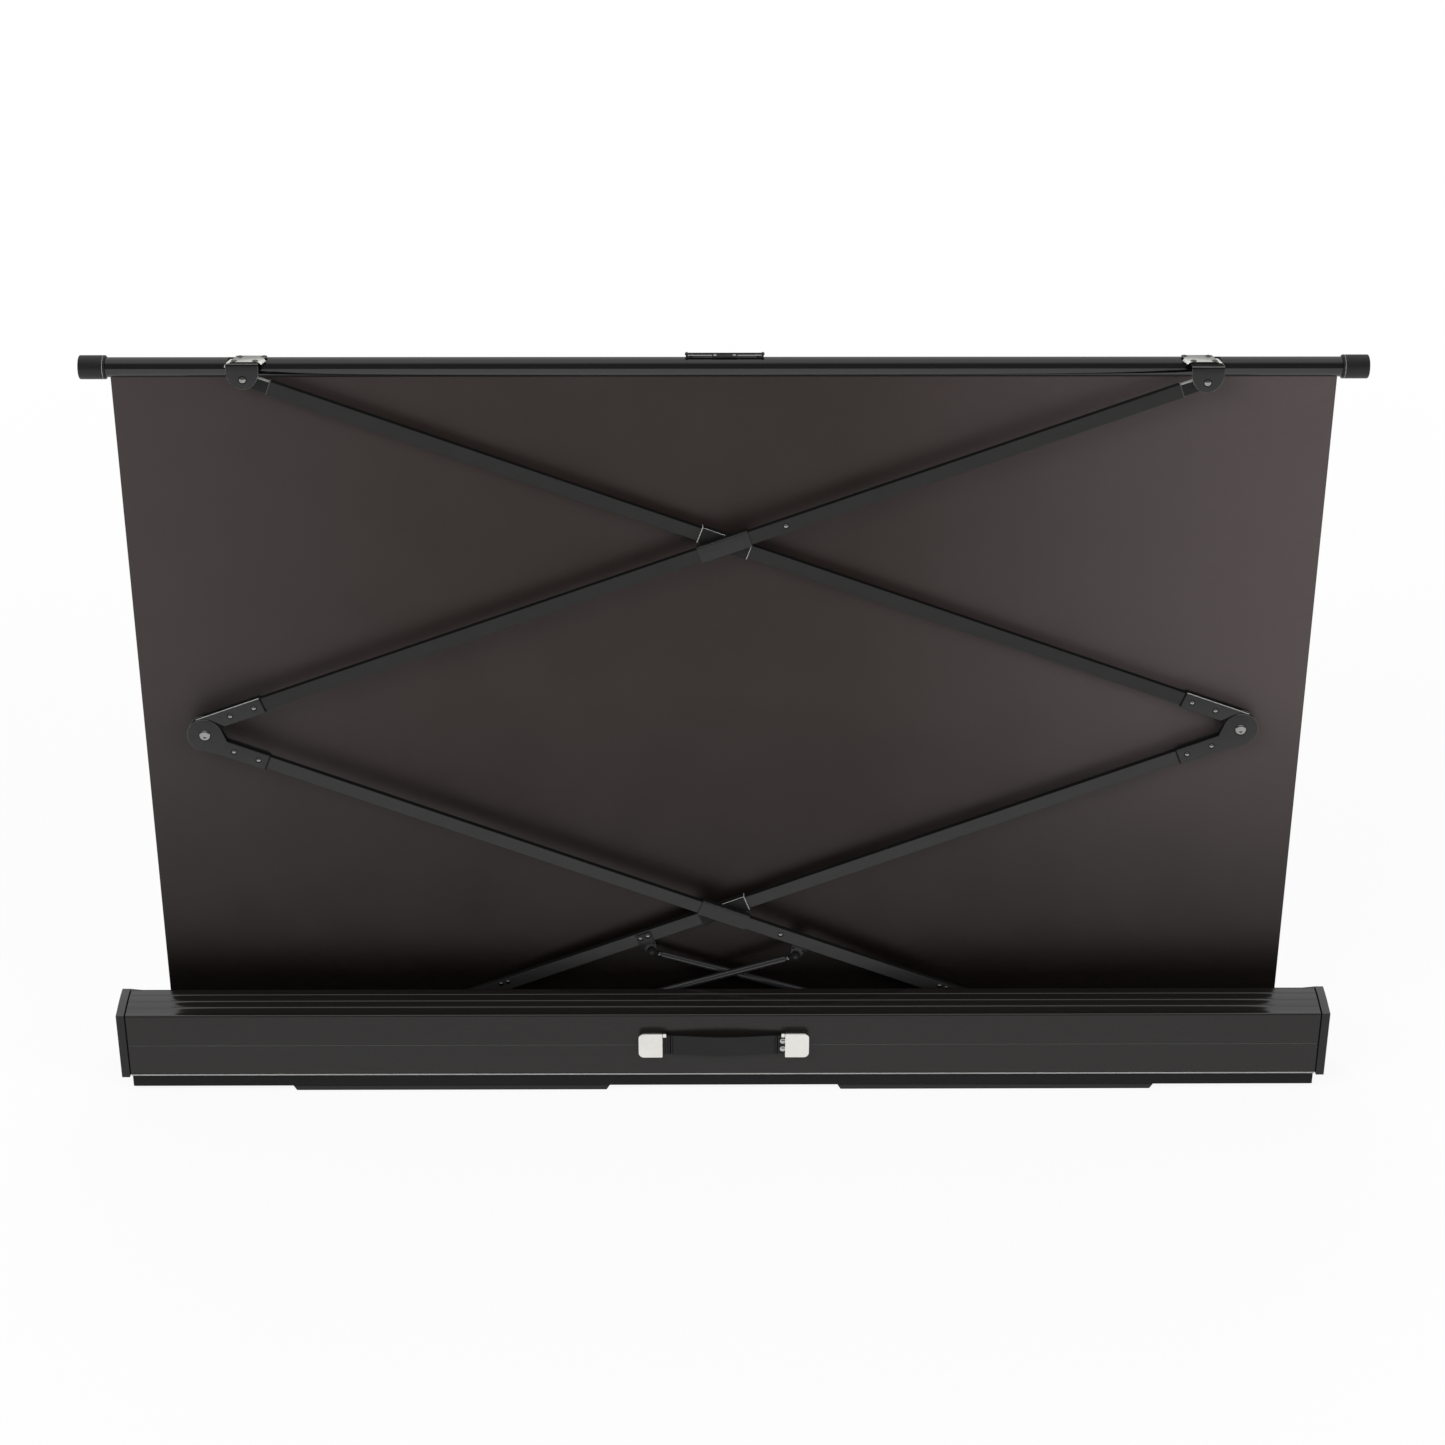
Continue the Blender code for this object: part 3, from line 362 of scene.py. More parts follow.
def hollowed(item, wall, depth=None):
    """Bores a block right through along X, or pockets both its ends."""
    faces_to(item, "X")
    bpy.ops.mesh.inset(thickness=wall, use_individual=True)
    if depth is None:
        bpy.ops.mesh.bridge_edge_loops()
    else:
        bpy.ops.mesh.extrude_region_shrink_fatten(TRANSFORM_OT_shrink_fatten={"value": -depth})
    close_mesh()
    return item


def rounded(item, width, segments=2, steeper=SHARP):
    """Rounds every edge that is steeper than an angle."""
    activate(item)
    bpy.ops.object.modifier_add(type="BEVEL")
    modifier = item.modifiers[-1]
    modifier.width = width
    modifier.segments = segments
    modifier.limit_method = "ANGLE"
    modifier.angle_limit = steeper
    bpy.ops.object.modifier_apply(modifier=modifier.name)
    return item


def edge_bevel(offset, segments):
    """Bevels the edges that are selected, and leaves edit mode."""
    bpy.ops.mesh.bevel(offset=offset, segments=segments, affect="EDGES", clamp_overlap=True)
    close_mesh()


def joined(name, items):
    activate(items[0])
    for item in items[1:]:
        item.select_set(True)
    if len(items) > 1:
        bpy.ops.object.join()
    items[0].name = name
    return items[0]


def copied(item, name, move=(0.0, 0.0, 0.0), turn=None):
    """A copy with its own mesh, moved, and turned first where a matrix is given."""
    deselect()
    twin = item.copy()
    twin.data = item.data.copy()
    twin.name = name
    bpy.context.scene.collection.objects.link(twin)
    if turn is not None:
        twin.rotation_euler = turn.to_euler()
    twin.location = move
    activate(twin)
    fix_place()
    return twin


def painted(item, finish):
    item.data.materials.clear()
    item.data.materials.append(FINISHES[finish])
    return item


def lined(item, finish, test):
    """Gives the faces that pass a test of centre and normal a further finish."""
    item.data.materials.append(FINISHES[finish])
    for face in item.data.polygons:
        if test(face.center, face.normal):
            face.material_index = len(item.data.materials) - 1
    return item


def dress(item, finish, body, slot, *nodes, edge=None, segments=2):
    """Rounds a finished piece, shades it, gives it a finish if one is named, puts it on its body."""
    if edge:
        rounded(item, edge, segments)
    activate(item)
    bpy.ops.object.shade_smooth_by_angle(angle=SHARP)
    if edge:
        bpy.ops.object.modifier_add(type="WEIGHTED_NORMAL")
        item.modifiers[-1].keep_sharp = True
        bpy.ops.object.modifier_apply(modifier=item.modifiers[-1].name)
    if finish:
        painted(item, finish)
    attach(item, body)
    if nodes:
        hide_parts(*nodes)
    return item


def circle(centre, radius, start=0.0, end=2 * pi, steps=SIDES):
    points = [(centre[0] + radius * cos(start + (end - start) * i / steps),
               centre[1] + radius * sin(start + (end - start) * i / steps)) for i in range(steps + 1)]
    return points[:-1] if abs(end - start) > 6.28 else points


def wrap(points):
    """The shortest outline round a set of points, counter-clockwise."""
    points = sorted(set((round(a, 6), round(b, 6)) for a, b in points))

    def half(run):
        chain = []
        for p in run:
            while len(chain) > 1 and ((chain[-1][0] - chain[-2][0]) * (p[1] - chain[-2][1])
                                      - (chain[-1][1] - chain[-2][1]) * (p[0] - chain[-2][0])) <= 1e-12:
                chain.pop()
            chain.append(p)
        return chain[:-1]

    return half(points) + half(points[::-1])


def pulled(outline, roots, far):
    """An outline whose straight root, between two of its corners, is pulled out along X."""
    roots = {(round(a, 6), round(b, 6)) for a, b in roots}
    k = next(i for i, p in enumerate(outline) if {p, outline[(i + 1) % len(outline)]} == roots)
    ends = [(far, outline[k][1]), (far, outline[(k + 1) % len(outline)][1])]
    return outline[:k + 1] + ends + outline[k + 1:]


def wire(name, radius, start, moves, sides=20):
    """A round wire in the XY plane, pulled along from its start: (reach, 0) or (angle, bend)."""
    deselect()
    place, heading = Vector((*start, 0.0)), Vector((-1.0, 0.0, 0.0))
    bpy.ops.mesh.primitive_circle_add(vertices=sides, radius=radius, fill_type="NGON", location=place,
                                      rotation=(0.0, pi / 2, 0.0))
    item = bpy.context.object
    item.name = name
    fix_place()
    bpy.ops.object.mode_set(mode="EDIT")
    bpy.ops.mesh.select_mode(type="FACE")
    select_whole()
    for amount, bend in moves:
        if not bend:
            step = heading * amount
            push(step)
            place = place + step
            continue
        left = heading.cross(Vector((0.0, 0.0, -1.0))) * (1 if amount > 0 else -1)
        middle = place + left * bend
        bpy.ops.mesh.spin(steps=8, angle=-amount, center=middle, axis=(0.0, 0.0, 1.0))
        turn = Matrix.Rotation(amount, 3, "Z")
        place = middle + turn @ (place - middle)
        heading = turn @ heading
    select_whole()
    bpy.ops.mesh.remove_doubles(threshold=1e-6)
    face_outwards()
    return item


def span(side, start, end):
    """An interval of local X, turned over for the chain that runs the other way."""
    return tuple(sorted((side * start, side * end)))


# Finishes


def node(tree, kind, inputs=None, **settings):
    """Adds a node, sets it, and links or sets its inputs."""
    made = tree.nodes.new(f"ShaderNode{kind}")
    for key, value in settings.items():
        setattr(made, key, value)
    for key, value in (inputs or {}).items():
        if isinstance(value, bpy.types.NodeSocket):
            tree.links.new(value, made.inputs[key])
        else:
            made.inputs[key].default_value = value
    return made


def noise(tree, place, scale, detail=3.0, stretch=(1.0, 1.0, 1.0)):
    moved = node(tree, "Mapping", {"Vector": place, "Scale": stretch}).outputs["Vector"]
    made = node(tree, "TexNoise", {"Vector": moved, "Scale": scale, "Detail": detail})
    return made.outputs["Fac"]


def spread(tree, value, low, high, start=0.3, end=0.7, kind="LINEAR"):
    made = node(tree, "MapRange", {"Value": value, "From Min": start, "From Max": end,
                                             "To Min": low, "To Max": high}, interpolation_type=kind)
    return made.outputs["Result"]


def blend_colour(tree, factor, first, second):
    return node(tree, "Mix", {0: factor, 6: first, 7: second}, data_type="RGBA").outputs[2]


def maths(tree, operation, *values):
    return node(tree, "Math", dict(enumerate(values)), operation=operation).outputs[0]


def shade(base, amount):
    return (*[min(1.0, channel * amount) for channel in base], 1.0)


def bump(tree, height, strength, distance, normal=None):
    inputs = {"Height": height, "Strength": strength, "Distance": distance}
    if normal is not None:
        inputs["Normal"] = normal
    return node(tree, "Bump", inputs).outputs["Normal"]


def blank(name, base, sockets):
    """A new material with its node tree and its shader, whose plain sockets are set."""
    material = bpy.data.materials.new(name)
    material.use_nodes = True
    material.diffuse_color = (*base, 1.0)
    shader = material.node_tree.nodes["Principled BSDF"]
    for key, value in (sockets or {}).items():
        shader.inputs[key].default_value = value
    return material, material.node_tree, shader


def gloss(level):
    return {"Specular IOR Level": level}


def surface(name, base, rough, metallic=0.0, mottle=(3.0, 0.12), grain=(900.0, 0.15, 0.0002),
            stretch=(1.0, 1.0, 1.0), rough_spread=0.06, sockets=None):
    """A solid finish: colour that varies slowly, roughness that varies, and a fine grain."""
    material, tree, shader = blank(name, base, sockets)
    place = node(tree, "TexCoord").outputs["Object"]
    slow = noise(tree, place, mottle[0], 4.0, stretch)
    fine = noise(tree, place, grain[0], 2.0, stretch)
    patch = noise(tree, place, mottle[0] * 9.0, 5.0, stretch)
    tint = blend_colour(tree, spread(tree, slow, 0.0, 1.0), shade(base, 1.0 - mottle[1]),
                        shade(base, 1.0 + mottle[1]))
    speck = blend_colour(tree, spread(tree, fine, 0.0, 0.35), tint, shade(base, 1.0 + 2 * mottle[1]))
    tree.links.new(speck, shader.inputs["Base Color"])
    tree.links.new(spread(tree, patch, max(0.02, rough - rough_spread), rough + rough_spread),
                   shader.inputs["Roughness"])
    tree.links.new(bump(tree, fine, grain[1], grain[2]), shader.inputs["Normal"])
    shader.inputs["Metallic"].default_value = metallic
    return material


def woven(name, base, sides, rough, thread, depth, variation=0.10, sockets=None):
    """Cloth: two sets of threads across each other, under a thin coat. Its colour is painted lighter near
    the sides, and lighter still towards the right, as painted light, and painted darker towards the bottom
    as painted shade.
    """
    material, tree, shader = blank(name, base, sockets)
    place = node(tree, "TexCoord").outputs["Object"]
    # a wave's bands repeat each 2 pi / (20 * scale) along its axis
    pitch = 2 * pi / (20 * thread)
    sets = []
    for way in ("X", "Z"):
        sets.append(node(tree, "TexWave", {"Vector": place, "Scale": pitch, "Distortion": 0.6,
                                                     "Detail": 1.0, "Detail Scale": 1.5},
                         wave_type="BANDS", bands_direction=way, wave_profile="SIN").outputs["Fac"])
    both = maths(tree, "MAXIMUM", *sets)
    slubs = noise(tree, place, 60.0, 3.0, (1.0, 1.0, 9.0))
    slow = noise(tree, place, 1.6, 3.0)
    cloudy = noise(tree, place, 9.0, 4.0)
    tint = blend_colour(tree, spread(tree, slow, 0.0, 1.0), shade(base, 1.0 - variation),
                        shade(base, 1.0 + variation))
    apart = node(tree, "SeparateXYZ", {0: place}).outputs
    away = maths(tree, "ABSOLUTE", apart["X"])
    # painted light: the back turns paler towards both sides, and paler still towards the right
    left = blend_colour(tree, spread(tree, away, 0.0, 1.0, 0.45, 0.92), tint, shade(sides, 1.0))
    paler = blend_colour(tree, spread(tree, apart["X"], 0.0, 1.0, 0.20, 0.95), left, shade(sides, 1.9))
    # painted shade: the back turns nearly black towards the bottom, by the case
    darker = blend_colour(tree, spread(tree, apart["Z"], 0.93, 0.0, 0.20, 0.68), paler, shade(base, 0.02))
    threads = blend_colour(tree, spread(tree, both, 0.0, 0.25, 0.0, 1.0), darker, shade(base, 0.50))
    slubbed = blend_colour(tree, spread(tree, slubs, 0.0, 0.12), threads, shade(base, 1.35))
    tree.links.new(slubbed, shader.inputs["Base Color"])
    tree.links.new(spread(tree, cloudy, rough - 0.05, rough + 0.06), shader.inputs["Roughness"])
    coarse = bump(tree, slubs, 0.25, depth * 2)
    tree.links.new(bump(tree, both, 0.5, depth, coarse), shader.inputs["Normal"])
    return material


FINISHES = {}
# Metallic share, mottle, grain, stretch and spread of roughness that finishes share
DRAWN = (0.0, (2.0, 0.08), (260.0, 0.12, 0.0003), (0.02, 1.0, 1.0), 0.04)
PAINT = (0.0, (5.0, 0.10), (1100.0, 0.18, 0.0002), (0.6, 1.0, 1.0), 0.06)
# Shared by the pale edge colours, which are painted highlights
EDGE_HIGHLIGHT = (0.0, (30.0, 0.12), (900.0, 0.2, 0.0001), (0.3, 1.0, 1.0), 0.08)
PLATED = (1.0, (25.0, 0.03), (800.0, 0.05, 0.0001))


def make_finishes():
    c = colours()
    FINISHES.update({
        "case": surface("Anodised shell", c.case, 0.27, *DRAWN, gloss(0.37)),
        # painted sheen: a glossier copy of the case's finish for its top, so that the top reads brighter
        "crown": surface("Polished crown", c.case, 0.15, *DRAWN, gloss(0.85)),
        "plastic": surface("Moulded plastic", c.plastic, 0.46, 0.0, (4.0, 0.05), (1500.0, 0.35, 0.0002),
                           sockets=gloss(0.36)),
        "arms": surface("Arm paint", c.arms, 0.36, *PAINT, gloss(0.33)),
        # painted light: a lighter, glossier copy of the arm paint for the lower arms
        "lower_arms": surface("Lower arm paint", c.lower_arms, 0.36, *PAINT, gloss(0.42)),
        "bracket": surface("Satin black", c.black, 0.40, 0.0, (12.0, 0.15), (1300.0, 0.22, 0.0002)),
        "gloss": surface("Gloss black", c.gloss, 0.12, 0.0, (3.0, 0.15), (60.0, 0.03, 0.0004),
                         (0.3, 1.0, 1.0), 0.04, gloss(0.68)),
        # dull black parts, used also as painted shade in recesses, gaps, round heads and on the arms' tops
        "dull": surface("Dull black", c.black, 0.65, 0.0, (9.0, 0.2), (1300.0, 0.3, 0.0002),
                        sockets=gloss(0.10)),
        "base": surface("Base rail coat", c.black, 0.50, 0.0, (9.0, 0.15), (900.0, 0.2, 0.0002),
                        (0.1, 1.0, 1.0), 0.06, gloss(0.17)),
        "satin": surface("Satin cylinder", c.cylinder, 0.20, 0.0, (12.0, 0.12), (300.0, 0.08, 0.0002),
                         (0.1, 1.0, 1.0), 0.05, gloss(0.80)),
        # the tips' plastic, used also as painted shade on the inner sleeves
        "tip": surface("Tip plastic", c.black, 0.55, 0.0, (9.0, 0.15), (1500.0, 0.3, 0.0002),
                       sockets=gloss(0.26)),
        # painted highlights: pale colours put on edges that face up or toward the camera, in three strengths
        "bare": surface("Bare edge", c.bare, 0.45, *EDGE_HIGHLIGHT),
        "rim": surface("Worn edge", shade(c.bare, 0.55)[:3], 0.45, *EDGE_HIGHLIGHT),
        "edge": surface("Edge paint", shade(c.bare, 0.16)[:3], 0.40, *EDGE_HIGHLIGHT),
        # painted highlight: the chrome's colour on a plain surface, which stays bright where chrome would
        # reflect the dim room
        "bright": surface("Bright edge", shade(c.chrome, 0.90)[:3], 0.35, 0.0, (30.0, 0.05),
                          (900.0, 0.1, 0.0001)),
        "nickel": surface("Nickel plate", c.nickel, 0.13, 1.0, (60.0, 0.15), (700.0, 0.10, 0.0001)),
        "zinc": surface("Zinc plate", c.zinc, 0.30, 1.0, (40.0, 0.10), (700.0, 0.10, 0.0001)),
        "dark_steel": surface("Blackened steel", shade(c.zinc, 0.22)[:3], 0.30, 1.0, (40.0, 0.2),
                              (900.0, 0.15, 0.0001)),
        "chrome": surface("Satin chrome", c.chrome, 0.22, *PLATED),
        # painted shade: a darker copy of the chrome for the saddles
        "saddle": surface("Brushed saddle", shade(c.chrome, 0.76)[:3], 0.24, *PLATED),
        "rod": surface("Polished rod", c.chrome, 0.10, 1.0, (25.0, 0.03), (300.0, 0.04, 0.0001),
                       (0.1, 1.0, 1.0), 0.03),
        "strap": surface("Strap vinyl", c.black, 0.42, 0.0, (14.0, 0.2), (420.0, 0.35, 0.0004),
                         sockets=gloss(0.28)),
        "rubber": surface("Rubber", c.rubber, 0.75, 0.0, (20.0, 0.1), (900.0, 0.4, 0.0003)),
        # the cloth's finish is painted lighter at its sides as painted light, and darker at its bottom as
        # painted shade
        "cloth_back": woven("Coated cloth", c.cloth_back, c.cloth_painted_light, 0.38, sizes().thread, 0.00010,
                            sockets={"Specular IOR Level": 0.36,
                                     "Specular Tint": (1.0, 0.89, 0.87, 1.0)}),
        "cloth_front": surface("Viewing surface", c.cloth_front, 0.85, 0.0, (2.0, 0.012),
                               (1600.0, 0.25, 0.0001)),
        "cloth_border": surface("Black border", c.cloth_border, 0.80, 0.0, (6.0, 0.15),
                                (1400.0, 0.3, 0.0002)), })


# Small parts that repeat


def seated(head, radius):
    """Puts a head on a thin dull black ring that paints the shade round the head."""
    rim = radius + 0.0010
    washer = turned("washer", [(rim, 0.0), (rim, -0.0003), (radius - 0.0004, -0.0004)], axis="Y", sides=32)
    painted(head, "nickel")
    return joined(head.name, [head, painted(washer, "dull")])


def fastener(kind):
    """A rivet or screw head on the origin that stands out along -Y."""
    if kind in ("rivet", "bolt"):
        radius, high = (0.0037, 0.0020) if kind == "rivet" else (0.0054, 0.0021)
        ball = (radius ** 2 + high ** 2) / (2 * high)
        steep = asin(radius / ball)
        profile = [(radius, 0.0)] + [(ball * sin(steep * k / 8), ball * cos(steep * k / 8) - ball + high)
                                     for k in range(8, 0, -1)]
        return seated(turned(kind, [(r, -y) for r, y in profile], axis="Y", sides=32), radius)
    if kind == "screw":
        profile = [(0.0045, 0.0), (0.0045, 0.0006), (0.0041, 0.0013), (0.0030, 0.0019), (0.0024, 0.0020),
                   (0.0015, 0.0012)]
        return turned("screw", [(r, -y) for r, y in profile], axis="Y", sides=24)
    profile = [(0.0088, 0.0), (0.0088, 0.0003), (0.0084, 0.0009), (0.0078, 0.0014), (0.0070, 0.0018),
               (0.0060, 0.0020), (0.0048, 0.0021), (0.0038, 0.0017), (0.0024, 0.0011), (0.0010, 0.0009)]
    return seated(turned("pivot_head", [(r, -y) for r, y in profile], axis="Y", sides=36), 0.0088)


BACKWARDS = Matrix.Rotation(pi, 3, "Z")
UPWARDS = Matrix.Rotation(-pi / 2, 3, "X")


def heads(name, kind, places, finish, body, slot, nodes=(), place=((0.0, 0.0, 0.0), 0.0)):
    """Copies of one fastener as one piece; places are (point, turn) pairs."""
    pattern = fastener(kind)
    copies = [copied(pattern, name, point, turn) for point, turn in places]
    bpy.data.objects.remove(pattern, do_unlink=True)
    item = joined(name, copies)
    settle(item, *place)
    if finish == "nickel" and kind != "screw":
        return dress(item, None, body, slot, *nodes)
    return dress(item, finish, body, slot, *nodes)


def both_faces(x, z):
    """Places of a head on either face of an elbow."""
    return [((x, y * LAYER_FACE, z), None if y < 0 else BACKWARDS) for y in BOTH]


# The two chains of arms


class Chain:
    """Places of one pair of arms: side is +1 where its lower arm starts at the right."""

    def __init__(self, word, side, end):
        self.word = word
        self.side = side
        self.end = end
        bottom = JOINTS["fold" if side > 0 else "inner_fold"]["pos_m"]
        elbow = JOINTS["outer_elbow" if side > 0 else "inner_elbow"]["pos_m"]
        self.y = bottom[1]
        # place and tilt of the lower arm, the upper arm and the gas spring
        self.lower = (Vector(bottom), side * LOWER_TILT)
        self.upper = (Vector(elbow), -side * UPPER_TILT)
        self.strut = (Vector((-side * SPRING_MOUNT_X, self.y, SPRING_MOUNT_Z)), -side * SPRING_TILT)


OUTER = Chain("outer", 1, "right")
INNER = Chain("inner", -1, "left")
CHAINS = (OUTER, INNER)


def make_arm(name, side, start, end, height, finish):
    """A rectangular tube with rounded corners and open ends, its top painted dark as shade, in its arm's own
    frame.
    """
    low, high = span(side, start, end)
    item = block(name, (low, -ARM_DEPTH / 2, height - ARM_HEIGHT / 2),
                 (high, ARM_DEPTH / 2, height + ARM_HEIGHT / 2))
    hollowed(item, ARM_WALL, 0.060)
    half = ARM_HEIGHT / 2 - 1e-4
    edges_along(item, "X", lambda p: abs(p.z - height) > half)
    edge_bevel(sizes().arm_corner, 4)
    painted(item, finish)
    # painted shade: the top face is dull black
    return lined(item, "dull", lambda c, n: n.z > 0.8 and c.z > height)


def make_cheek(name, outline, side):
    """A pressed plate on one face of an arm's end; side is +1 on the face behind."""
    inside = ARM_DEPTH / 2 + GAP
    start, end = (inside, inside + CHEEK) if side > 0 else (-inside - CHEEK, -inside)
    return drawn(name, outline, start, end, "Y")


def make_web(name, side, start, height, end_wall):
    """The box between two cheeks that holds the arm's end; start is the end by the elbow."""
    inside = ARM_DEPTH / 2 + GAP
    rim = 0.0003
    low, high = span(side, start, start + SOCKET_LENGTH - rim)
    item = block(name, (low, -inside - CHEEK / 2, height - SOCKET_HEIGHT / 2 + rim),
                 (high, inside + CHEEK / 2, height + SOCKET_HEIGHT / 2 - 6 * rim))
    far = side * (start + SOCKET_LENGTH - rim)
    faces_to(item, "X", 1 if far > 0 else -1)
    bpy.ops.mesh.inset(thickness=0.0004)
    depth = SOCKET_LENGTH - rim - end_wall
    push((-side * depth, 0.0, 0.0))
    close_mesh()
    return item


def add_lower_arms(chain):
    body = f"{chain.word}_lower_arm"
    side = -chain.side
    end = LOWER_ARM - SOCKET_START - SOCKET_END_WALL - GAP
    # the lower arms wear the lit copy of the arm paint: painted light
    arm = make_arm(f"lower_arm_tube_{chain.word}", side, -0.014, end, 0.0, "lower_arms")
    settle(arm, *chain.lower)
    dress(arm, None, body, "arm_metal", f"lower_arm_{chain.word}", edge=sizes().edge / 2)

    elbow = (side * LOWER_ARM, ELBOW_ABOVE_LOWER)
    start = side * (LOWER_ARM - SOCKET_START)
    far = side * (LOWER_ARM - SOCKET_START - SOCKET_LENGTH + sizes().joint)
    half = SOCKET_HEIGHT / 2
    roots = [(start, half), (start, -half)]
    outline = pulled(wrap(circle(elbow, LOBE_RADIUS, steps=72) + roots), roots, far)
    cheeks = [make_cheek(f"cheek_{k}", outline, k) for k in BOTH]
    for cheek in cheeks:
        rounded(cheek, sizes().lip, 3, radians(50))
        painted(cheek, "bracket")
        # painted highlight on the cheeks' bevels that face the camera
        lined(cheek, "edge",
              lambda c, n: (c.x - elbow[0]) * side > 0.002 and -0.97 < n.y < -0.2 and n.z > -0.9)
    web = make_web("web", side, LOWER_ARM - SOCKET_START - SOCKET_LENGTH, 0.0, SOCKET_END_WALL)
    # the web is dull black to paint the shade in the recess between the cheeks
    painted(outwards(web), "dull")
    fork = joined(f"fork_{chain.word}", cheeks + [web])
    settle(fork, *chain.lower)
    dress(fork, None, body, "black_metal", f"elbow_fork_{chain.word}")
    dots = [spot for x in RIVET_PLACES for spot in both_faces(side * (LOWER_ARM - x), 0.0)]
    heads(f"fork_rivets_{chain.word}", "rivet", dots, "nickel", body, "black_metal", place=chain.lower)
    heads(f"elbow_pivot_{chain.word}", "pivot", both_faces(*elbow), "nickel", body, "steel",
          (f"elbow_pin_{chain.word}",), chain.lower)
    crossing = BOTTOM_PIVOT_X / cos(LOWER_TILT)
    marks = [((side * x, -ARM_DEPTH / 2, 0.004), None) for x in END_SCREWS]
    if chain.side > 0:
        marks.append(((side * (crossing - STOP_SCREW), -ARM_DEPTH / 2, 0.0), None))
    heads(f"lower_arm_screws_{chain.word}", "rivet", marks, "nickel", body, "steel", place=chain.lower)


class SCREEN_OT_lower_arms(bpy.types.Operator):
    """Add the lower arms with their elbow forks and stop screw"""
    bl_idname = "screen.lower_arms"
    bl_label = "Lower arms"

    def execute(self, context):
        for chain in CHAINS:
            add_lower_arms(chain)
        return {"FINISHED"}


def outwards(item):
    """Keeps a web's normals outwards after its pocket was pushed in."""
    activate(item)
    bpy.ops.object.mode_set(mode="EDIT")
    face_outwards()
    return item


def add_upper_arms(chain):
    body = f"{chain.word}_upper_arm"
    side = chain.side
    height = ELBOW_BELOW_UPPER
    start = SOCKET_START + SOCKET_END_WALL + GAP
    arm = make_arm(f"upper_arm_tube_{chain.word}", side, start, UPPER_ARM - TIP_NECK, height,
                   "arms")
    settle(arm, *chain.upper)
    dress(arm, None, body, "arm_metal", f"upper_arm_{chain.word}", edge=sizes().edge / 2)

    base = side * SOCKET_START
    far = side * (SOCKET_START + SOCKET_LENGTH - sizes().joint)
    half = SOCKET_HEIGHT / 2
    plates = []
    clear = LOBE_RADIUS + 0.0008
    lowest = radians(43)
    for k in BOTH:
        hollow = [(side * clear * cos(lowest + (pi / 2 - lowest) * i / 16),
                   clear * sin(lowest + (pi / 2 - lowest) * i / 16)) for i in range(17)]
        outline = [(-side * 0.002, height + half), (-side * 0.002, clear), *hollow[::-1],
                   (base, height - half), (far, height - half), (far, height + half)]
        plate = rounded(make_cheek(f"plate_{k}", outline, k), sizes().lip, 3, radians(60))
        painted(plate, "bracket")
        # painted highlight along the front plate's top edge
        if k < 0:
            lined(plate, "bare", lambda c, n: n.z > 0.15 and c.z > height + half - 0.0015)
        plates.append(plate)
    web = make_web("web", side, SOCKET_START, height, SOCKET_END_WALL)
    # the web is dull black to paint the shade in the recess between the cheeks
    painted(outwards(web), "dull")
    root = side * (SOCKET_START + SOCKET_END_WALL / 2)
    lobe = wrap(circle((0.0, 0.0), TONGUE_RADIUS, steps=72) + [(root, height + half),
                                                               (root, height)])
    tongue = drawn("tongue", lobe, -ARM_DEPTH / 2, ARM_DEPTH / 2, "Y")
    painted(rounded(tongue, sizes().edge, 2, radians(50)), "dull")
    knee = joined(f"tongue_{chain.word}", plates + [web, tongue])
    settle(knee, *chain.upper)
    dress(knee, None, body, "black_metal", f"elbow_tongue_{chain.word}")
    dots = [spot for x in RIVET_PLACES for spot in both_faces(side * x, height)]
    heads(f"tongue_rivets_{chain.word}", "rivet", dots, "nickel", body, "black_metal", place=chain.upper)

    pivot = (side * UPPER_ARM, height)
    neck = side * (UPPER_ARM - TIP_NECK + GAP)
    shape = wrap(circle(pivot, TIP_HEIGHT / 2, steps=40)
                 + [(neck, height + TIP_HEIGHT / 2), (neck, height - TIP_HEIGHT / 2)])
    tip = rounded(drawn("tip", shape, -TIP_DEPTH / 2, TIP_DEPTH / 2, "Y"), sizes().edge * 2, 3, radians(50))
    low, high = sorted((neck, neck + side * 0.0014))
    collar = block("collar", (low, -ARM_DEPTH / 2, height - ARM_HEIGHT / 2),
                   (high, ARM_DEPTH / 2, height + ARM_HEIGHT / 2))
    # the collar is painted pale as a highlight, palest on its top
    painted(rounded(collar, sizes().edge, 2), "edge")
    lined(collar, "rim", lambda c, n: n.z > 0.5)
    painted(tip, "tip")
    # painted highlight along the tip's top edge
    lined(tip, "bare", lambda c, n: abs(n.z) > 0.3 and c.z > height + TIP_HEIGHT / 2 - 0.002)
    tip = joined(f"tip_{chain.word}", [tip, collar])
    settle(tip, *chain.upper)
    dress(tip, None, body, "black_plastic", f"arm_tip_{chain.word}")
    if chain.side > 0:
        crossing = UPPER_ARM - TOP_PIVOT_X / cos(UPPER_TILT)
        marks = [((side * (crossing + STOP_SCREW), -ARM_DEPTH / 2, height), None)]
        heads("upper_arm_screw", "rivet", marks, "nickel", body, "steel", place=chain.upper)


class SCREEN_OT_upper_arms(bpy.types.Operator):
    """Add the upper arms with their elbow tongues, tips and stop screw"""
    bl_idname = "screen.upper_arms"
    bl_label = "Upper arms"

    def execute(self, context):
        for chain in CHAINS:
            add_upper_arms(chain)
        return {"FINISHED"}


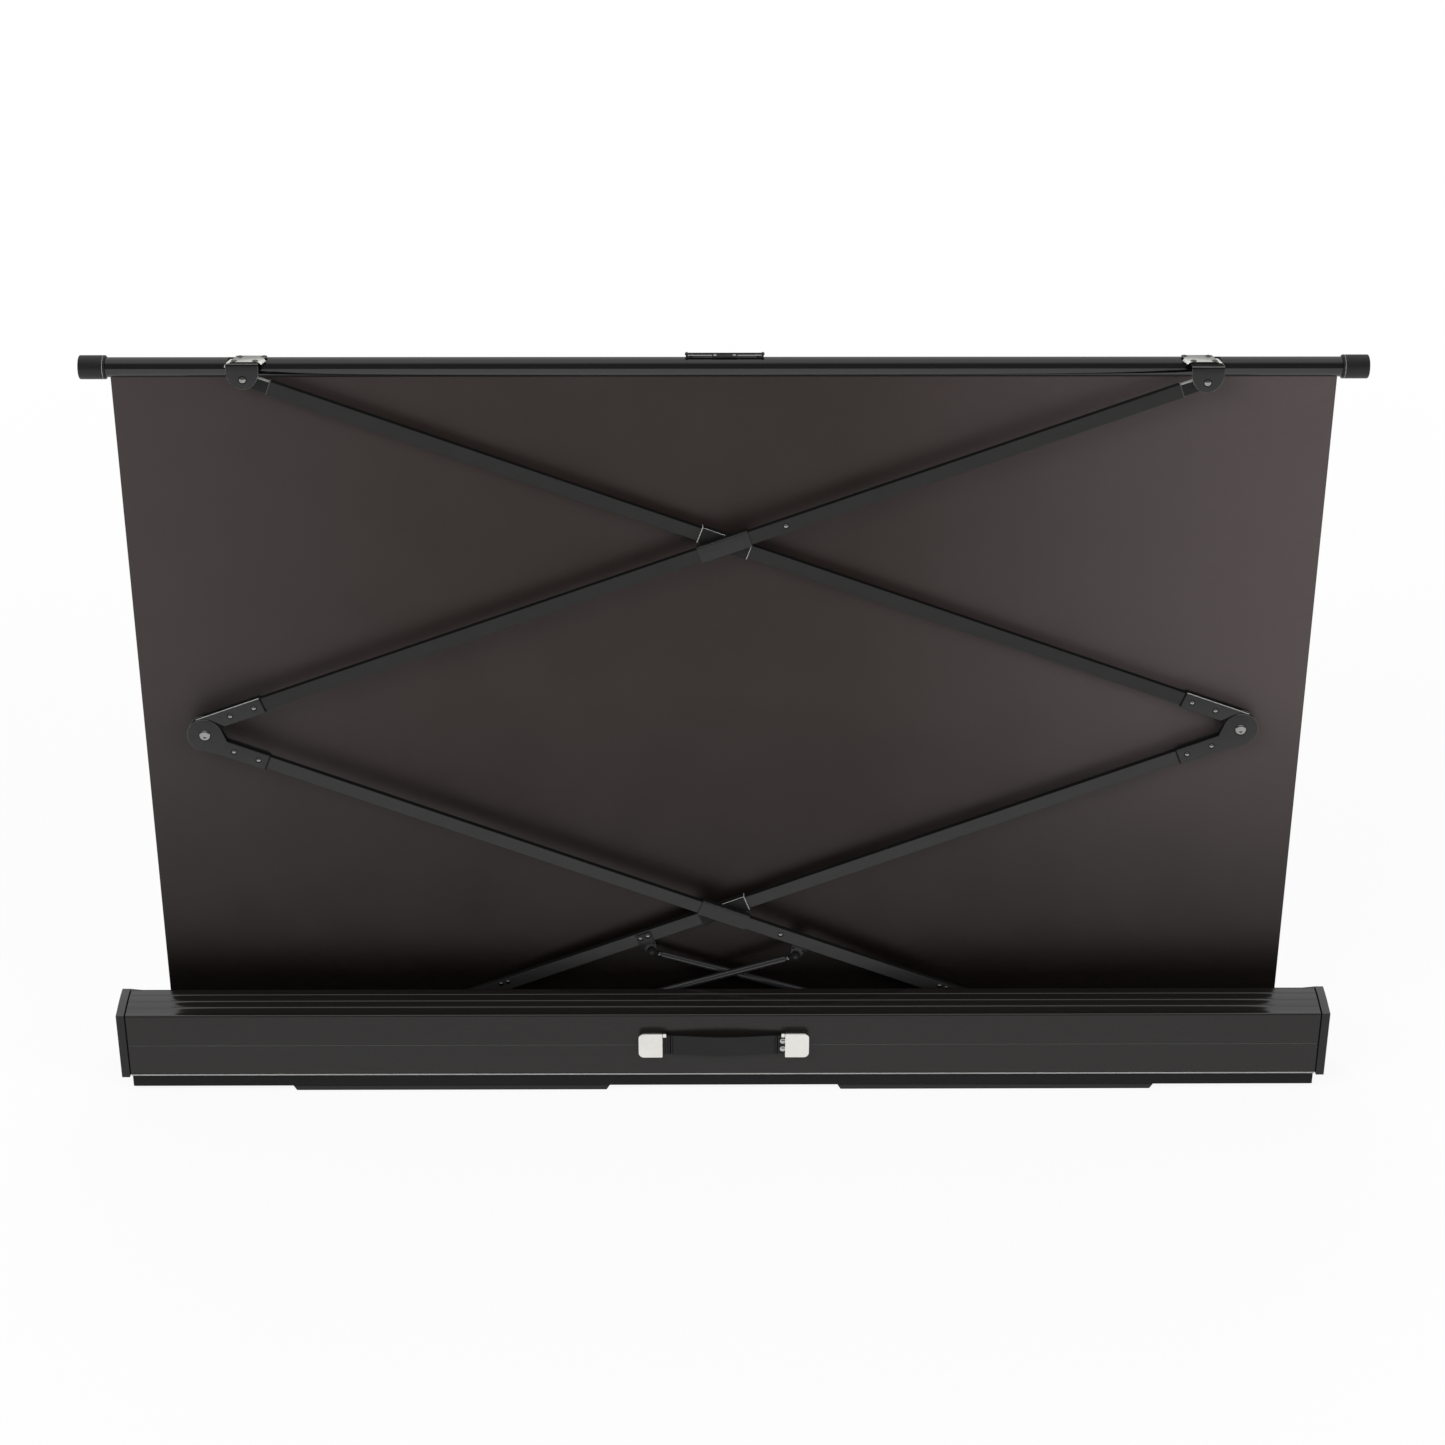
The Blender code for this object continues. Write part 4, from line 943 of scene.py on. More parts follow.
def add_sleeves(chain):
    half = 0.041
    upper = chain.side * (UPPER_ARM - TOP_PIVOT_X / cos(UPPER_TILT))
    lower = -chain.side * BOTTOM_PIVOT_X / cos(LOWER_TILT)
    for level, x, height, place, tilt in (
            ("upper", upper, ELBOW_BELOW_UPPER, *chain.upper),
            ("lower", lower, 0.0, *chain.lower)):
        body = f"{chain.word}_{level}_sleeve"
        shell = block("shell", (x - half, -0.0071, height - 0.0136),
                      (x + half, 0.0071, height + 0.0136))
        hollowed(shell, 0.0014)
        edges_along(shell, "X", lambda p: abs(p.z - height) > 0.0135)
        edge_bevel(0.0020, 4)
        inner = chain.side < 0
        # painted shade: the inner sleeves take the darker tip finish, for the shade that the outer sleeves
        # cast on them
        painted(shell, "tip" if inner else "bracket")
        strip = half - 0.0011
        for end in BOTH if inner else ():
            sliced(shell, (x + end * strip, 0.0, 0.0), (1.0, 0.0, 0.0))
        # painted highlights on the shells' upward bevels and end strips, stronger on the inner sleeves
        lined(shell, "bare" if inner else "edge",
              lambda c, n: 0.6 < n.z < 0.97 or c.x - x > strip or level == "upper" and x - c.x > strip)
        liners = []
        for end in BOTH:
            low, high = sorted((x + end * (half - 0.006), x + end * (half + 0.0002)))
            liner = block("liner", (low, -0.0064, height - 0.0128), (high, 0.0064, height + 0.0128))
            liners.append(hollowed(liner, 0.0011))
        sleeve = joined(f"{level}_sleeve_shell_{chain.word}", [shell])
        settle(sleeve, place, tilt)
        dress(sleeve, None, body, "arm_metal", f"{level}_sleeve_{chain.word}")
        liner = joined(f"{level}_sleeve_liner_{chain.word}", liners)
        settle(liner, place, tilt)
        # the liners are dull black plastic, and their dark ends also stand for the shade in the gap at each
        # end of a sleeve
        dress(liner, "dull", body, "black_plastic", edge=0.0002)


class SCREEN_OT_sleeves(bpy.types.Operator):
    """Add the sleeves that slide on the arms at their two crossings"""
    bl_idname = "screen.sleeves"
    bl_label = "Cross sleeves"

    def execute(self, context):
        for chain in CHAINS:
            add_sleeves(chain)
        return {"FINISHED"}


def add_top_brackets(chain):
    side, word = chain.side, chain.end
    low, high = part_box(f"top_bracket_{word}")
    x = side * TOP_PIVOT_X
    top = high.z
    pivot_z = JOINTS["top_pivot"]["pos_m"][2]
    front, near, far = low.y, max(low.y + 0.0085, 0.0225), high.y
    thick = 0.0020

    def across(outward):
        return x + side * outward

    plate = drawn("saddle", [(across(-0.025), near), (across(0.018), near), (across(0.0155), 0.038),
                             (across(0.012), far), (across(-0.0345), far)], top - thick, top, "Z")
    parts = [rounded(plate, 0.0006, 2)]
    for edge, away, bend, slant in ((0.018, 1, 0.009, -0.0025), (-0.025, -1, 0.004, -0.0048)):
        middle = (across(edge), top - bend)
        outer, inner = (circle(middle, bend - cut, 0.0, pi / 2, 8) for cut in (0.0, thick))
        if side * away < 0:
            outer, inner = ([(2 * middle[0] - a, b) for a, b in ring] for ring in (outer, inner))
        flange = drawn("flange", outer + inner[::-1], near, 0.0380, "Y")
        choose(flange, lambda v: v.co.y > near + 0.001, "verts")
        nudge((side * slant, 0.0, 0.0))
        # the flanges are painted pale as a chrome highlight
        parts.append(painted(rounded(flange, 0.0004, 2, radians(50)), "bright"))
    # the saddle plate takes the darker copy of the chrome: painted shade
    painted(plate, "saddle")
    saddle = joined(f"saddle_{word}", parts)
    dress(saddle, None, "top_rail", "chrome", f"top_bracket_{word}")

    crease = pivot_z + 0.0139
    wide, deep = 0.0243, 0.0289
    ear_top = top - 0.0008
    outline = [(x + wide * cos(a), crease + deep * sin(a)) for a in
               (-pi + pi * k / 40 for k in range(41))]
    outline += [(x + wide, crease + 0.0006), (x + wide, ear_top), (x - wide, ear_top),
                (x - wide, crease + 0.0006)]
    ear = drawn("ear", outline, front, front + CHEEK, "Y")
    choose(ear, lambda v: v.co.z > ear_top - 0.001, "verts")
    nudge((0.0, 0.0016, 0.0))
    rounded(ear, sizes().edge, 3, radians(50))
    painted(ear, "bracket")
    # painted highlights on the ear's bevels that face the camera, brightest on the lower ones
    lined(ear, "rim", lambda c, n: -0.95 < n.y < -0.15)
    lined(ear, "bare", lambda c, n: -0.95 < n.y < -0.15 and n.z < -0.2)
    # the shelf under the saddle's near edge is dull black, to paint the shade in the gap there
    shelf = block("shelf", (x - wide, front + CHEEK / 2, top - 0.0048),
                  (x + wide, far - 0.001, top - thick - 0.0002))
    painted(rounded(shelf, 0.0004, 2), "dull")
    ear = joined(f"ear_{word}", [ear, shelf])
    dress(ear, None, "top_rail", "black_metal", f"top_bracket_{word}")
    spots = [((across(dx), y, top - 0.0002), UPWARDS) for dx, y in
             ((-0.019, near + 0.0045), (0.0125, near + 0.0045), (-0.0300, far - 0.0045),
              (0.0060, far - 0.0045))]
    heads(f"saddle_screws_{word}", "rivet", spots, "dark_steel", "top_rail", "steel")
    ends = [((x, chain.y - LAYER_FACE, pivot_z), None)]
    heads(f"top_pivot_{word}", "bolt", ends, "nickel", "top_rail", "steel", (f"top_pin_{word}",))


class SCREEN_OT_top_brackets(bpy.types.Operator):
    """Add the chrome saddles, their screws, the black ears and the pivot heads at the tube"""
    bl_idname = "screen.top_brackets"
    bl_label = "Top brackets"

    def execute(self, context):
        for chain in CHAINS:
            add_top_brackets(chain)
        return {"FINISHED"}


def add_top_tube():
    radius, wall, slot = 0.015, 0.0018, 0.0016
    cloth_y = (CLOTH_LOW.y + CLOTH_HIGH.y) / 2
    left, right = cloth_y - slot / 2 - RAIL_Y, cloth_y + slot / 2 - RAIL_Y
    outline = []
    for r, first, last in ((radius, right, left), (radius - wall, left, right)):
        a, b = -acos(first / r), -acos(last / r)
        turn = (b - a) % (2 * pi) if r == radius else -((a - b) % (2 * pi))
        outline += circle((RAIL_Y, RAIL_Z), r, a, a + turn, 96)
    tube = drawn("rail_tube", outline, TUBE_LOW.x, TUBE_HIGH.x)
    dress(tube, "gloss", "top_rail", "rail", "top_tube", edge=0.0003)
    for side, word in HANDS:
        end = side * CAP_LOW.x if side < 0 else -CAP_LOW.x
        far = abs(end)
        profile = [(0.0153, far - 0.012), (0.0153, far - 0.0404), (0.0170, far - 0.0404),
                   (0.0176, far - 0.0400), (0.0180, far - 0.0392), (0.0180, far - 0.0372),
                   (0.0177, far - 0.0368), (0.0177, far - 0.0362), (0.0180, far - 0.0358),
                   (0.0180, far - 0.0020), (0.0177, far - 0.0010), (0.0168, far - 0.0002),
                   (0.0150, far), (0.0120, far), (0.0114, far - 0.0008), (0.0060, far - 0.0008)]
        cap = turned(f"rail_cap_{word}", [(r, side * x) for r, x in profile], (0.0, RAIL_Y, RAIL_Z), "X", 96)
        painted(cap, "plastic")
        # painted highlight on the cap's collar ring
        lined(cap, "bare", lambda c, n: -0.0373 < abs(c.x) - far < -0.0357 and abs(n.x) < 0.5)
        dress(cap, None, "top_rail", "case_plastic", f"tube_cap_{word}")


class SCREEN_OT_top_tube(bpy.types.Operator):
    """Add the slotted tube, its end caps and the lip that holds the cloth"""
    bl_idname = "screen.top_tube"
    bl_label = "Top tube"

    def execute(self, context):
        add_top_tube()
        return {"FINISHED"}


def add_pull_handle():
    low, high = HANDLE_LOW, HANDLE_HIGH
    lug, floor, pad = low.z + 0.0066, low.z + 0.0013, low.z + 0.0028
    plate = drawn("handle_strip", [(low.x, low.z), (high.x, low.z), (high.x, lug), (high.x - 0.003, lug),
                                   (high.x - 0.003, floor), (0.0185, floor), (0.0175, pad),
                                   (-0.0175, pad), (-0.0185, floor), (low.x + 0.003, floor),
                                   (low.x + 0.003, lug), (low.x, lug)], low.y, high.y, "Y")
    dress(plate, "tip", "top_rail", "steel", "handle_plate", edge=0.0004)
    spots = [((x, RAIL_Y, pad - 0.0002), UPWARDS) for x in (-0.0145, 0.0145)]
    heads("handle_screws", "rivet", spots, "nickel", "top_rail", "steel")
    centre = Vector(JOINTS["bail_lift"]["pos_m"])
    reach, bend, leg, past = 0.016, 0.006, 0.050, 0.0597
    small = bend / 2
    moves = [(past - leg - small, 0), (-pi / 2, small), (reach - small - bend, 0), (pi / 2, bend),
             (2 * (leg - bend), 0), (pi / 2, bend), (reach - small - bend, 0), (-pi / 2, small),
             (past - leg - small, 0)]
    bail = wire("bail_wire", 0.0018, (past, 0.0), moves)
    bail.rotation_euler.x = -radians(20)
    settle(bail, centre)
    dress(bail, "bracket", "pull_bail", "steel", "handle_bail")


class SCREEN_OT_pull_handle(bpy.types.Operator):
    """Add the pull handle's plate, screws and wire bail"""
    bl_idname = "screen.pull_handle"
    bl_label = "Pull handle"

    def execute(self, context):
        add_pull_handle()
        return {"FINISHED"}


def add_gas_springs(chain):
    side, word = chain.side, chain.word
    top = SPRING_LENGTH
    start = top - NECK_LENGTH - CYLINDER_LENGTH
    r = CYLINDER_RADIUS - 0.0010
    bore = ROD_RADIUS + 0.0004
    profile = [(bore, start + 0.012), (bore, start)]
    profile += [(r - less, start + far) for less, far in (
        (0.0022, 0.0), (0.0008, 0.0006), (0.0002, 0.0018), (0.0002, 0.006), (0.0009, 0.007),
        (0.0009, 0.0085), (0.0, 0.0098), (0.0, 0.309), (0.0004, 0.3125), (0.0014, 0.3150),
        (0.0030, 0.3165), (0.0040, 0.3170))]
    cylinder = turned(f"gas_cylinder_{word}", [(a, side * x) for a, x in profile], axis="X", sides=40)
    settle(cylinder, *chain.strut)
    dress(cylinder, "satin", f"{word}_spring_cylinder", "cylinder",
          f"spring_cylinder_{word}")
    steps = ((0.0028, 0.0160), (0.0040, 0.0140), (0.0046, 0.0132), (0.0046, 0.0120),
             (0.0036, 0.0108), (0.0024, 0.0100))
    stud = turned("stud", [(wide, side * (top - back)) for wide, back in steps],
                  (0.0, -0.0010, 0.0), "X", 24)
    eye = turned("eye", [(0.0074, -0.0045), (0.0080, -0.0040), (0.0080, 0.0004), (0.0074, 0.0009)],
                 (side * top, 0.0, 0.0), "Y", 40)
    low, high = span(side, top - 0.0112, top - 0.004)
    neck = block("neck", (low, -0.0042, -0.0040), (high, 0.0006, 0.0040))
    rounded(neck, 0.0008, 2)
    painted(stud, "nickel")
    for dark in (neck, eye):
        painted(dark, "dull")
    fitting = joined(f"spring_fitting_{word}", [neck, stud, eye])
    settle(fitting, *chain.strut)
    dress(fitting, None, f"{word}_spring_cylinder", "steel")
    heads(f"spring_bolt_{word}", "screw", [((side * top, -0.0045, 0.0), None)], "bracket",
          f"{word}_spring_cylinder", "steel", place=chain.strut)

    shaft = turned("shaft", [(ROD_RADIUS - 0.0004, side * 0.0049), (ROD_RADIUS, side * 0.006),
                             (ROD_RADIUS, side * (start + 0.034))], axis="X", sides=32)
    ring = turned("ring", [(0.0064, -0.0045), (0.0070, -0.0038), (0.0070, 0.0038), (0.0064, 0.0045)],
                  axis="Y", sides=32)
    rod = joined(f"gas_rod_{word}", [shaft, ring])
    settle(rod, *chain.strut)
    dress(rod, "rod", f"{word}_spring_rod", "chrome", f"spring_rod_{word}")
    add_hanger(chain)


def add_hanger(chain):
    """A moulded clamp on the lower arm with the lobe that the cylinder's eye is bolted to."""
    along = (BOTTOM_PIVOT_X - SPRING_ARM_X - SPRING_DROP * sin(LOWER_TILT)) / cos(LOWER_TILT)
    x = -chain.side * along
    under = -ARM_HEIGHT / 2 - GAP
    front = -ARM_DEPTH / 2 - GAP
    shape = [(front, under), (0.005, under), (0.005, under - 0.003), (front, under - 0.003)]
    if chain.side < 0:
        shape = [(front - 0.002, 0.008), (front, 0.008), *shape[:3], (front - 0.002, under - 0.003)]
    clamp = painted(rounded(drawn("clamp", shape, x - 0.013, x + 0.013), 0.0005, 2), "arms")
    lobe = wrap(circle((x, -SPRING_DROP), 0.0088, steps=48)
                + [(x - 0.013, under - 0.0005), (x + 0.013, under - 0.0005)])
    plate = rounded(drawn("lobe", lobe, 0.0012, 0.005, "Y"), 0.0006, 2, radians(50))
    ribs = []
    for k in BOTH:
        low = (x + k * 0.0085 - 0.0012, -0.0040, under - 0.0100)
        rib = block("rib", low, (low[0] + 0.0024, 0.0020, under - 0.002))
        choose(rib, lambda v: v.co.y < 0 and v.co.z < under - 0.009, "verts")
        nudge((0.0, 0.0050, 0.0))
        ribs.append(painted(rib, "bracket"))
    painted(plate, "bracket")
    item = joined(f"hanger_{chain.word}", [clamp, plate, *ribs])
    settle(item, *chain.lower)
    body = f"{chain.word}_lower_arm"
    dress(item, None, body, "black_plastic", f"spring_hanger_{chain.word}")
    if chain.side < 0:
        dots = [((x + dx, front - 0.002, 0.002), None) for dx in (-0.0065, 0.0065)]
        heads("hanger_rivets", "rivet", dots, "nickel", body, "steel", place=chain.lower)


class SCREEN_OT_gas_springs(bpy.types.Operator):
    """Add the gas springs' cylinders, rods, end fittings and hangers"""
    bl_idname = "screen.gas_springs"
    bl_label = "Gas springs"

    def execute(self, context):
        for chain in CHAINS:
            add_gas_springs(chain)
        return {"FINISHED"}


def crown(steps):
    """The case's domed top in YZ, from the rear wall to the crest."""
    rear, crest = COVER_LOW.y, COVER_HIGH.y
    low, high = SHOULDER, COVER_HIGH.z
    return [(rear + (crest - rear) * t, low + (high - low) * sin(pi / 2 * t))
            for t in (k / steps for k in range(steps + 1))]


def crown_height(y):
    t = (y - COVER_LOW.y) / (COVER_HIGH.y - COVER_LOW.y)
    return SHOULDER + (COVER_HIGH.z - SHOULDER) * sin(pi / 2 * max(0.0, min(1.0, t)))


def add_case_shell():
    s = sizes()
    rear, crest, floor = COVER_LOW.y, COVER_HIGH.y, COVER_LOW.z
    shell, corner = 0.002, 0.0035
    groove_z = 0.0946
    outer = [(rear + dy, floor + dz) for dy, dz in (
        (0.016, 0.0), (0.0008, 0.0), (0.0, 0.0008), (0.0, 0.0030), (0.0006, 0.0036),
        (0.0006, 0.0046), (0.0, 0.0052))]
    outer += [(rear, groove_z - 0.0012), (rear + s.groove, groove_z - 0.0005),
             (rear + s.groove, groove_z + 0.0005), (rear, groove_z + 0.0012)]
    top = crown_height(rear + corner)
    outer += [(rear, top - corner)]
    outer += [(rear + corner - corner * cos(a), top - corner + corner * sin(a))
              for a in (pi / 2 * k / 6 for k in range(1, 7))]
    ribs = [crest - d for d in (0.0465, 0.0315, 0.0150)]
    y = rear + corner + 0.004
    while y < crest - 0.0005:
        if not any(abs(y - rib) < s.rib_width + 0.0008 for rib in ribs):
            outer.append((y, crown_height(y) - s.rib_height))
        y += 0.0025
        for rib in ribs:
            if y - 0.0025 < rib - s.rib_width <= y:
                low = crown_height(rib) - s.rib_height
                outer += [(rib - s.rib_width * 0.9, low), (rib - s.rib_width * 0.45, low + s.rib_height),
                          (rib + s.rib_width * 0.45, low + s.rib_height), (rib + s.rib_width * 0.9, low)]
    outer = [p for k, p in enumerate(outer) if k == 0 or p != outer[k - 1]]
    outer += [(crest - 0.0012, COVER_HIGH.z - 0.0001), (crest - 0.0003, COVER_HIGH.z - 0.0006),
              (crest, COVER_HIGH.z - 0.0014), (crest, COVER_HIGH.z - 0.018)]
    inner = [(crest - shell, COVER_HIGH.z - 0.018), (crest - shell, COVER_HIGH.z - shell - 0.001)]
    inner += [(y, z - s.rib_height - shell) for y, z in crown(12)[::-1]
              if rear + shell + 0.003 < y < crest - shell - 0.001]
    inner += [(rear + shell, top - corner - shell), (rear + shell, floor + shell),
              (rear + 0.016, floor + shell)]
    cover = drawn("case_cover", outer + inner, COVER_LOW.x, COVER_HIGH.x)
    painted(cover, "case")
    # the top takes the glossier copy of the case's finish: painted sheen
    lined(cover, "crown", lambda c, n: c.z > top - corner and n.z > 0.5)
    # painted highlights: on the rear wall's bottom lip, and faintly on the groove's lower side
    lined(cover, "bare", lambda c, n: c.z < floor + 0.0031 and c.y < rear + 0.0004 and n.y < -0.5)
    lined(cover, "edge", lambda c, n: groove_z - 0.0012 < c.z < groove_z - 0.0005 and n.z > 0.1)
    dress(cover, None, "case", "case_shell", "rear_cover")

    back, face = FRONT_LOW.y, FRONT_HIGH.y
    low, high = FRONT_LOW.z, FRONT_HIGH.z - RIM_DROP
    thick = 0.0025
    inner_y = face - thick
    outline = [(face - 0.0008, low), (face, low + 0.0008), (face, low + 0.0255),
               (face - 0.0008, low + 0.0262),
               (face - 0.0008, low + 0.0272), (face, low + 0.0279), (face, high - 0.0012),
               (face - 0.0004, high - 0.0003), (face - 0.0012, high), (inner_y + 0.0005, high),
               (inner_y, high - 0.0005), (inner_y, low + 0.002), (back, low + 0.002), (back, low)]
    wall = drawn("case_front", outline, FRONT_LOW.x, FRONT_HIGH.x)
    dress(wall, "case", "case", "case_shell", "front_wall")


class SCREEN_OT_case_shell(bpy.types.Operator):
    """Add the ribbed rear cover and the front wall of the case"""
    bl_idname = "screen.case_shell"
    bl_label = "Case shell"

    def execute(self, context):
        add_case_shell()
        return {"FINISHED"}


def add_end_caps(side, word):
    s = sizes()
    low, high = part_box(f"end_cap_{word}")
    inner, outer = (low.x, high.x) if side > 0 else (high.x, low.x)
    shapes = []
    for proud in (COVER_LOW.y - low.y, -s.joint):
        top = [(y, z + proud) for y, z in crown(8)]
        top[0] = (COVER_LOW.y - proud, top[0][1])
        shapes.append([(COVER_LOW.y - proud, COVER_LOW.z - proud), *top,
                       (FRONT_HIGH.y + proud, FRONT_HIGH.z - RIM_DROP + proud / 3),
                       (FRONT_HIGH.y + proud, COVER_LOW.z - proud)])
    neck = drawn("neck", shapes[1], *sorted((inner, inner + side * 2 * s.joint)))
    cap = drawn("cap", shapes[0], *sorted((inner + side * s.joint, outer)))
    faces_to(cap, "X", side)
    recess(0.0055, -side * 0.0012)
    recess(0.0012, side * 0.0008)
    close_mesh()
    cap = joined(f"case_end_{word}", [cap, neck])
    dress(cap, "plastic", "case", "case_plastic", f"end_cap_{word}", edge=0.0009, segments=3)
    # the cap's dome takes the case's glossier top finish: painted sheen
    lined(cap, "crown", lambda c, n: c.z > 0.15 and n.z > 0.9)
    # painted shade: the neck in the joint groove is dull black
    lined(cap, "dull", lambda c, n: abs(c.x) < abs(inner) + 1.2 * s.joint and abs(n.x) < 0.2)
    face = high.x - 0.0023 if side > 0 else low.x + 0.0023
    turn = Matrix.Rotation(pi / 2 * side, 3, "Z")
    spots = [((face, y, z), turn) for y, z in ((low.y + 0.020, low.z + 0.020),
                                               (high.y - 0.020, low.z + 0.020),
                                               (low.y + 0.045, 0.135))]
    heads(f"case_end_screws_{word}", "screw", spots, "dark_steel", "case", "steel")
    add_plug(word, side)


def add_plug(word, side):
    """The moulded plug that closes an end of the base rail."""
    low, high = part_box("base_rail")
    end = side * (high.x + GAP)
    near, far = sorted((end, end + side * 0.0015))
    plug = block(f"base_plug_{word}", (near, low.y, 0.0103), (far, high.y, 0.0330))
    faces_to(plug, "X", -side)
    recess(0.0033, -side * 0.010)
    close_mesh()
    faces_to(plug, "X", side)
    recess(0.0030, -side * 0.0006)
    close_mesh()
    dress(plug, "plastic", "case", "case_plastic", edge=0.0003)


class SCREEN_OT_end_caps(bpy.types.Operator):
    """Add the moulded end caps of the case with their screws"""
    bl_idname = "screen.end_caps"
    bl_label = "End caps"

    def execute(self, context):
        for side, word in HANDS:
            add_end_caps(side, word)
        return {"FINISHED"}


def add_carry_strap():
    low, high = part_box("carry_strap")
    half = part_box("strap_cap_right")[0].x
    wall_y = high.y
    thick, bow = 0.0035, 0.006
    middle = (low.z + high.z) / 2
    steps = 64
    grooves = [half * (1 - d) for d in (0.045, 0.085, 0.125, 0.165)]
    face = [(half * (2 * k / steps - 1), wall_y - bow * sin(pi * k / steps) ** 2)
            for k in range(steps + 1)]
    outer = [(-half - 0.018, wall_y)] + face + [(half + 0.018, wall_y)]
    inner = [(x, y - thick) for x, y in outer[::-1]]
    notched = []
    for k, (x, y) in enumerate(inner):
        notched.append((x, y))
        if k + 1 < len(inner):
            nx, ny = inner[k + 1]
            for g in sorted(grooves + [-g for g in grooves], reverse=True):
                if nx < g <= x:
                    t = (x - g) / (x - nx)
                    gy = y + (ny - y) * t
                    for dx, dy in ((0.0009, 0.0), (0.0004, 0.0009), (-0.0004, 0.0009), (-0.0009, 0.0)):
                        notched.append((g + dx, gy + dy))
    notched = sorted(set(notched), key=lambda p: -p[0])
    strap = drawn("strap_band", outer + notched, low.z, high.z, "Z")
    dress(strap, "strap", "case", "black_plastic", "carry_strap", edge=0.0004)

    for side, word in HANDS:
        a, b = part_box(f"strap_cap_{word}")
        far = b.x if side > 0 else a.x
        near = a.x if side > 0 else b.x
        shell = block("cap", (a.x, a.y, a.z), (b.x, b.y, b.z))
        edges_along(shell, "Y", lambda p: abs(p.x - far) < 1e-4)
        edge_bevel(0.009, 6)
        edges_along(shell, "Y", lambda p: abs(p.x - near) < 1e-4)
        edge_bevel(0.0015, 3)
        faces_to(shell, "X", -side, lambda p: abs(p.x - near) < 1e-4)
        recess(0.0035, side * 0.020)
        close_mesh()
        rounded(shell, 0.0012, 3)
        tab = drawn("tab", [(near - side * 0.0005, b.y - 0.0015), (near - side * 0.0005, a.y + 0.0010),
                            (near - side * 0.0060, a.y + 0.0010), (near - side * 0.0060, a.y + 0.0022),
                            (near - side * 0.0020, b.y - 0.0015)], b.z - 0.0075, b.z - 0.0005, "Z")
        rounded(tab, 0.0004, 2)
        cap = joined(f"strap_end_{word}", [shell, tab])
        dress(cap, "chrome", "case", "chrome", f"strap_cap_{word}")
        if side > 0:
            dots = [((near - side * 0.0036, wall_y - thick - 0.0004, middle + dz), None)
                    for dz in (-0.0075, 0.0075)]
            heads("strap_rivets", "rivet", dots, "zinc", "case", "steel")


class SCREEN_OT_carry_strap(bpy.types.Operator):
    """Add the carry strap, its chrome end caps and their rivets"""
    bl_idname = "screen.carry_strap"
    bl_label = "Carry strap"

    def execute(self, context):
        add_carry_strap()
        return {"FINISHED"}


def add_cloth():
    s = sizes()
    low, high = CLOTH_LOW.copy(), CLOTH_HIGH.copy()
    high.z += 0.010
    item = block("screen_cloth", low, high)
    for k, distance in ((0, s.border), (2, s.border_top)):
        for sign in BOTH:
            if k == 2 and sign < 0:
                distance = s.border_bottom
            edge = (high if sign > 0 else low)[k] - sign * distance
            if k == 2 and sign > 0:
                edge = TUBE_LOW.z - distance
            point, normal = [0.0, low.y, 0.0], [0.0, 0.0, 0.0]
            point[k], normal[k] = edge, 1.0
            sliced(item, point, normal)
    item.data.materials.clear()
    for word in ("cloth_back", "cloth_border", "cloth_front"):
        item.data.materials.append(FINISHES[word])
    for face in item.data.polygons:
        x, y, z = face.center
        if face.normal.y > 0.9:
            inside = (abs(x) < high.x - s.border and TUBE_LOW.z - s.border_top > z > low.z + s.border_bottom)
            face.material_index = 2 if inside else 1
        elif face.normal.y > -0.9:
            face.material_index = 1
    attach(item, "case")
    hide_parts("screen_fabric")
    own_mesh(item)


class SCREEN_OT_cloth(bpy.types.Operator):
    """Add the screen cloth with its coated back, white viewing surface and black borders"""
    bl_idname = "screen.cloth"
    bl_label = "Screen cloth"

    def execute(self, context):
        add_cloth()
        return {"FINISHED"}


def add_roller():
    low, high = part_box("fabric_roll")
    centre = (0.0, (low.y + high.y) / 2, (low.z + high.z) / 2)
    radius, bore = (high.z - low.z) / 2, 0.0138
    width = (radius - bore) / 3
    rings = [(bore, low.x + 0.02), (bore, low.x)]
    for k in range(3):
        r = bore + width * k
        rings += [(r + width * 0.25, low.x), (r + width * 0.5, low.x + 0.0004),
                  (r + width * 0.85, low.x)]
    rings += [(radius, low.x + 0.0002), (radius, high.x - 0.0002)]
    for k in range(3)[::-1]:
        r = bore + width * k
        rings += [(r + width * 0.85, high.x), (r + width * 0.5, high.x - 0.0004),
                  (r + width * 0.25, high.x)]
    rings += [(bore, high.x), (bore, high.x - 0.02)]
    roll = turned("cloth_roll", rings, centre, "X", 96)
    # the roll wears the cloth's finish, with its painted light and painted shade
    dress(roll, "cloth_back", "roller", "cloth", "fabric_roll")


class SCREEN_OT_roller(bpy.types.Operator):
    """Add the wound cloth on the spring roller inside the case"""
    bl_idname = "screen.roller"
    bl_label = "Roller"

    def execute(self, context):
        add_roller()
        return {"FINISHED"}


def add_feet(side, word):
    low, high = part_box(f"foot_{word}")
    slope = 0.0055
    plate = drawn(f"foot_plate_{word}", [(low.x, high.z), (low.x + slope, low.z + 0.001),
                                         (high.x - slope, low.z + 0.001), (high.x, high.z)],
                  low.y, high.y, "Y")
    dress(plate, "arms", f"{word}_foot", "arm_metal", f"foot_{word}", edge=0.0008, segments=3)
    pads = []
    for x in (low.x + 0.035, high.x - 0.085):
        pad = block("pad", (x, low.y + 0.010, low.z), (x + 0.050, high.y - 0.010, low.z + 0.0012))
        pads.append(rounded(pad, 0.0004, 2))
    pads = joined(f"foot_pads_{word}", pads)
    dress(pads, "rubber", f"{word}_foot", "black_plastic")


class SCREEN_OT_feet(bpy.types.Operator):
    """Add the swivelling feet with their rubber pads"""
    bl_idname = "screen.feet"
    bl_label = "Feet"

    def execute(self, context):
        for side, word in HANDS:
            add_feet(side, word)
        return {"FINISHED"}


